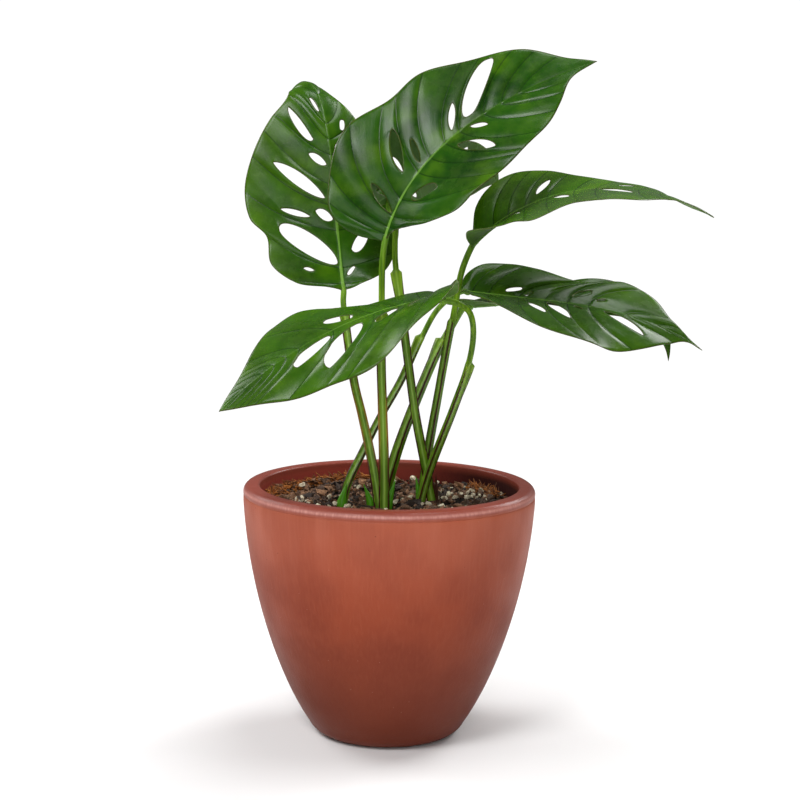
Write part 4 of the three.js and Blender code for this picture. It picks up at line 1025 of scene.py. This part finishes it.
def weld(points, quads, values):
    """Merges equal points, and leaves out faces that this folds up."""
    keys = np.round(points / WELD).astype(np.int64)
    _, first, same = np.unique(keys, axis=0, return_index=True, return_inverse=True)
    kept = []
    for f in same.reshape(-1)[quads]:
        ring = [int(v) for i, v in enumerate(f) if v != f[i - 1]]
        if len(set(ring)) > 2:
            kept.append(ring)
    return points[first], kept, values[first]


def point_normals(points, faces):
    """Direction of the upper side at each point, from the faces round it."""
    triangles = np.array([(f[0], f[i], f[i + 1]) for f in faces for i in range(1, len(f) - 1)])
    p, q, r = (points[triangles[:, k]] for k in range(3))
    facing = np.cross(q - p, r - p)
    normals = np.zeros_like(points)
    for k in range(3):
        np.add.at(normals, triangles[:, k], facing)
    return unit(normals)


# %% Blades
BLADE = 0.55  # thickness
EDGE_SHARE = 0.4  # the blade thins to this share of it at the edge, over EDGE_REACH
EDGE_REACH = 0.8
RIB_BASE = 1.15  # size of the midrib at the stalk and at the tip
RIB_TIP = 0.25
RIB_TAPER = 1.6
RIB_OVER = 0.25  # how far the midrib stands out over and under the blade, in shares of its size
RIB_UNDER = 0.8
RIB_COLOURED = 0.55  # half width of its colour, in shares of its size
RIB_STRONG = 1.05  # strength of its colour at the stalk, its fall along the blade, and the least
RIB_FADE = 1.7
RIB_FAINT = 0.12
VEIN_RIDGE = 0.16  # height and reach of the ridge of a side vein, which is half as deep on top
VEIN_REACH = 0.45
BLOCKS = 24  # distances to the edge are worked out in this many parts, to spare memory
TONES = {  # how yellow each leaf is all over, and how much more at its margin
    "leaf_back_left": (0.08, 0.3), "leaf_top": (0.0, 0.1), "leaf_front_left": (0.12, 0.16),
    "leaf_upper_right": (0.22, 0.14), "leaf_right": (0.16, 0.12), "leaf_behind": (0.05, 0.0),
    "leaf_under": (0.15, 0.0),
}


def blade(name, leaf):
    points, faces, values = weld(*leaf_grid(leaf))
    vein, rib, share, s, lane = values.T
    edges = {(f[i - 1], f[i]) for f in faces for i in range(len(f))}
    rim = [(a, b) for a, b in edges if (b, a) not in edges]
    rim_points = points[sorted({a for a, b in rim})]
    edge = np.concatenate([np.linalg.norm(block[:, None] - rim_points, axis=-1).min(1)
                           for block in np.array_split(points, BLOCKS)])

    share = np.clip(share, 0, 1)
    rib_size = RIB_TIP + (RIB_BASE - RIB_TIP) * (1 - share) ** RIB_TAPER
    rib_ridge = rib_size * np.exp(-(rib / (rib_size * 0.9)) ** 2)
    vein_ridge = VEIN_RIDGE * np.exp(-(vein / VEIN_REACH) ** 2) * (1 - s)
    skin = BLADE / 2 * (EDGE_SHARE + (1 - EDGE_SHARE) * np.clip(edge / EDGE_REACH, 0, 1))
    normals = point_normals(points, faces)
    top = points + normals * (skin + RIB_OVER * rib_ridge - 0.5 * vein_ridge)[:, None]
    bottom = points - normals * (skin + RIB_UNDER * rib_ridge + vein_ridge)[:, None]

    n = len(points)
    lower_faces = [[v + n for v in f[::-1]] for f in faces]
    wall_faces = [[b, a, a + n, b + n] for a, b in rim]
    all_over, at_margin = TONES[name]
    stored = {"vein": vein, "rib": rib, "lane": lane, "edge": edge, "rib_width": rib_size * RIB_COLOURED,
              "rib_tone": np.clip(RIB_STRONG - RIB_FADE * share, RIB_FAINT, 1),
              "tone": all_over + at_margin * s ** 4}
    make_piece(name.replace("leaf", "blade"), np.vstack([top, bottom]), faces + lower_faces + wall_faces,
               [upper, under], [name], {key: np.tile(data, 2) for key, data in stored.items()},
               [0] * len(faces) + [1] * len(faces) + [0] * len(rim))


for name, leaf in LEAVES.items():
    blade(name, leaf)

# %% [markdown]
# ## Stalk finish
# A stalk is mid green with faint streaks. Up to where the leaf sheath ends it is a channel
# between two wings, whose dried edges are brown, and tan in one stretch. The loose tips of the
# wings are yellow green, and the neck under the blade is paler than the rest.

# %% Stalk finish
STALK_GREEN = rgb(74, 112, 10)
STALK_STREAKS = rgb(118, 156, 28)
CHANNEL_GREEN = rgb(178, 218, 110)
NECK_GREEN = rgb(108, 154, 50)
LOOSE_GREEN = rgb(136, 168, 30)
FRESH_GREEN = rgb(84, 158, 26)  # young shoots
DRY_BROWN = rgb(66, 30, 19)
DRY_TAN = rgb(190, 136, 60)

stalk, tree, shader = start_material("stalk", Roughness=0.36, Specular_IOR_Level=0.2, Subsurface_Weight=0.1,
                                    Subsurface_Scale=0.002, Subsurface_Radius=(0.5, 1.0, 0.2))
drift = use(tree, streaks, Across_mm=1.6, Along_mm=22.0, Low=0.35, High=0.7)
ragged = use(tree, streaks, Across_mm=0.8, Along_mm=9.0, Low=0.3, High=0.6)
dried = ramp(tree, plus(tree, attribute(tree, "dry"), times(tree, ragged, 0.35)), 0.68, 0.96)
colour = layered(tree, STALK_GREEN, (STALK_STREAKS, drift), (CHANNEL_GREEN, attribute(tree, "groove"), 0.7),
                 (NECK_GREEN, attribute(tree, "neck")), (LOOSE_GREEN, attribute(tree, "loose")),
                 (DRY_BROWN, dried), (FRESH_GREEN, attribute(tree, "fresh")),
                 (DRY_TAN, attribute(tree, "tan")))
dress(tree, shader, colour, drift, 0.3)
print("stalk finish has", len(tree.nodes), "nodes")

# %% [markdown]
# ## Stalks and shoots
# Each stalk is a tube swept along a smooth path. Its outline across is a circle with a channel
# and two thin wings, which end in a loose tip short of the blade. The table gives each stalk
# its leaf, its radius, the compass angle that its channel faces, the share of its path where
# the sheath ends, and its path. dried is how tan the dried stretch is, and flap how far the
# loose tips stand out. Stalks that come out of one crown are one piece, with their shoots.

# %% Stalk table
STALKS = {
    "back_left": dict(leaf="leaf_back_left", radius=1.7, groove=-80, sheath=0.80, dried=0.9, path=[
        (-3.6, -17, 112), (-9, -13, 143), (-14.4, -7, 166), (-19, 0, 183), (-23, 8, 206),
        (-25, 13, 221)]),
    "top": dict(leaf="leaf_top", radius=1.8, groove=-85, sheath=0.66, dried=0.8, path=[
        (-2.5, -17, 112), (-3, -16.5, 145), (-4, -16, 171), (-5, -15.5, 196), (-5, -15, 221),
        (-5, -14.5, 243)]),
    "right": dict(leaf="leaf_right", radius=1.6, groove=228, sheath=0.71, path=[
        (-24.4, -11, 112), (-21.4, -9, 130), (-14, -5.5, 146), (-5, 0, 164), (5.6, 4, 183),
        (16, 8, 206), (24, 9.5, 220)]),
    "under": dict(leaf="leaf_under", radius=2.2, groove=212, sheath=0.735, path=[
        (-4, 11, 112), (1, 11, 134), (7, 10, 154), (16, 11, 178), (24, 14, 197), (31, 17, 210)]),
    "behind": dict(leaf="leaf_behind", radius=1.7, groove=-95, sheath=0.69, path=[
        (24, 5, 112), (18.5, 1.5, 139), (13, -3, 166), (9, -4, 192), (5, 0, 220), (1.5, 3, 243),
        (0.8, 3.2, 262)]),
    "upper_right": dict(leaf="leaf_upper_right", radius=1.8, groove=212, sheath=0.62, flap=0, path=[
        (16, 9, 112), (20, 7, 145), (24, 5, 171), (28, 2, 197), (32, -0.5, 221), (35, 0, 239)]),
    "front_left": dict(leaf="leaf_front_left", radius=1.7, groove=-42, sheath=0.445, path=[
        (13.4, -2, 112), (20, -5, 138), (31.2, -12, 170), (38.4, -18, 193), (40.8, -21.5, 209),
        (39, -24.5, 220.5), (33, -26, 225.5)]),
}
SHOOTS = {
    "spear_left": dict(radius=2.3, fresh=1, dry=0,
                       path=[(-9, -13, 112), (-9.5, -13.5, 122), (-13, -14, 132)]),
    "spear_right": dict(radius=1.8, fresh=1, dry=0, path=[(-1, -13, 112), (0.4, -13, 124), (3.2, -12, 135)]),
    "scale_leaf": dict(radius=2.7, fresh=0.9, dry=0,
                       path=[(-24.6, -12, 112), (-24.2, -12.2, 122), (-21.6, -11.2, 132)]),
    "bud": dict(radius=1.5, fresh=1, dry=0, path=[(16, 5, 112), (15, 5.5, 124), (13.5, 6, 133)]),
    "dry_sheath": dict(radius=1.2, fresh=0, dry=1, path=[(24, 8, 112), (24.2, 8.2, 124), (24, 8, 134)]),
}
CLUMPS = {
    "stems_centre": (["back_left", "top"], ["spear_left", "spear_right"]),
    "stem_left": (["right"], ["scale_leaf"]),
    "stem_back": (["under"], []),
    "stems_right": (["behind", "upper_right", "front_left"], ["bud", "dry_sheath"]),
}
print(len(STALKS), "stalks and", len(SHOOTS), "shoots in", len(CLUMPS), "clumps")

# %% Sweep along a path
AROUND = 40
CROWDING = 0.14  # gathers the points of a ring near its wings
WING_PLACE = 1.05  # angle of a wing from the middle of the channel, and its width, in radians
WING_WIDTH = 0.22
WING_RISE = 0.6  # in shares of the radius
CHANNEL_WIDTH = 0.62  # reach of the channel and of its pale colour, in radians
CHANNEL_COLOURED = 0.42
CHANNEL_DEPTH = 0.5
EDGE_STRONG = 1.15  # strength of the dry colour at the edge of a wing


def sweep(path, compass, t, radius, wing, flare):
    """Rings of a tube along a path, with a channel and two wings where wing is 1.

    The wings stand out further where flare is over 0. With the points come two values for
    each: how near it is to the edge of a wing, and how deep in the channel.
    """
    at = through(path, t)
    ahead = unit(through(path, np.minimum(1, t + 0.01)) - through(path, np.maximum(0, t - 0.01)))
    side = heading(compass)
    a_axis = unit(side - ahead * (ahead @ side)[:, None])
    b_axis = np.cross(ahead, a_axis)
    k = np.linspace(-math.pi, math.pi, AROUND, endpoint=False)
    angle = k - CROWDING * np.sin(2 * k)
    ridge = np.exp(-((np.abs(angle) - WING_PLACE) / WING_WIDTH) ** 2)
    channel = np.exp(-(angle / CHANNEL_WIDTH) ** 2)
    wing = wing[:, None]
    r = radius[:, None] * (1 + wing * ((WING_RISE + flare[:, None]) * ridge - CHANNEL_DEPTH * channel))
    ring = (at[:, None] + a_axis[:, None] * (r * np.cos(angle))[..., None]
            + b_axis[:, None] * (r * np.sin(angle))[..., None])
    near_edge = wing * np.clip(ridge * EDGE_STRONG, 0, 1)
    in_channel = wing * np.exp(-(angle / CHANNEL_COLOURED) ** 2)
    return ring.reshape(-1, 3), near_edge.reshape(-1), in_channel.reshape(-1)


# %% Parts of a stalk
STALK_RINGS = 200
SHOOT_RINGS = 40
SHOOT_NARROWS = 0.4  # share of its length from where a shoot narrows, and the radius of its point
SHOOT_POINT = 0.15
SHEATH_END = 0.012  # the wings die away over this share of the path
LOOSE_TIP = 0.10  # share of the path where the wings stand open and are yellow green
FLAP = 0.7  # how far the loose tips stand out further, in shares of the radius
NECK = 0.3  # share of the path that is paler, under the blade
NECK_RISE = 0.7  # the end of a stalk rises to this far under the blade, then sinks into its rib
NECK_IN = 5.0  # how far the end reaches into the rib, and how deep it ends there
NECK_SINK = 1.0
DRIED_AT = 163  # height of the dried tan stretch of a sheath's edge, and its reach up and down
DRIED_REACH = 16


def stalk_shape(t, wing):
    """Radius along a stalk in shares: wide at the foot, slimmer above the sheath, pointed at the end."""
    slim = 0.88 - 0.14 * np.clip((t - 0.9) / 0.1, 0, 1) - 0.4 * np.clip((t - 0.97) / 0.03, 0, 1)
    return (slim + (1 - slim) * wing) * (1.18 - 0.18 * np.minimum(1, t * 3))


def stalk_rings(spec):
    """Points of a stalk, and the values that its finish needs."""
    at, ahead, up = (v[0] for v in spine(LEAVES[spec["leaf"]])(np.array([0.0])))
    path = [*spec["path"], tuple(at - up * NECK_RISE), tuple(at + ahead * NECK_IN - up * NECK_SINK)]
    sheath = spec["sheath"] * len(spec["path"]) / (len(spec["path"]) + 1)
    flap = spec.get("flap", FLAP)
    t = np.linspace(0, 1, STALK_RINGS)
    wing = np.clip(0.5 + (sheath - t) / SHEATH_END, 0, 1)
    opened = wing * np.clip((t - sheath + LOOSE_TIP) / LOOSE_TIP, 0, 1)
    points, edge, channel = sweep(path, spec["groove"], t, spec["radius"] * stalk_shape(t, wing), wing,
                                  flap * opened)
    loose = np.repeat(opened * (flap > 0), AROUND)
    return points, {
        "groove": channel,
        "dry": edge * (1 - 0.6 * loose),
        "tan": spec.get("dried", 0) * edge * np.exp(-((points[:, 2] - DRIED_AT) / DRIED_REACH) ** 2),
        "neck": np.repeat(np.clip((t - 1 + NECK) / NECK, 0, 1), AROUND),
        "loose": 0.9 * loose * np.clip(edge + channel, 0, 1),
    }


def shoot_rings(spec):
    """Points of a shoot, which narrows over its last part to a point."""
    t = np.linspace(0, 1, SHOOT_RINGS)
    narrowed = np.clip((t - SHOOT_NARROWS) / (1 - SHOOT_NARROWS), 0, 1) ** 1.3
    radius = np.maximum(SHOOT_POINT, spec["radius"] * (1 - narrowed))
    points, _, _ = sweep(spec["path"], -90, t, radius, 0 * t, 0 * t)
    return points, {"dry": spec["dry"], "fresh": spec["fresh"]}


# %% Clumps of stalks
for node, (stalks, shoots) in CLUMPS.items():
    bodies = [stalk_rings(STALKS[name]) for name in stalks] + [shoot_rings(SHOOTS[name]) for name in shoots]
    points, faces, values = [], [], {key: [] for key in ("groove", "dry", "fresh", "tan", "neck", "loose")}
    for body, stored in bodies:
        faces += body_faces(len(body) // AROUND, AROUND, sum(len(part) for part in points))
        points.append(body)
        for key, parts in values.items():
            parts.append(np.broadcast_to(stored.get(key, 0), len(body)))
    make_piece("fine_" + node, np.vstack(points), faces, [stalk], [node],
               {key: np.concatenate(parts) for key, parts in values.items()})
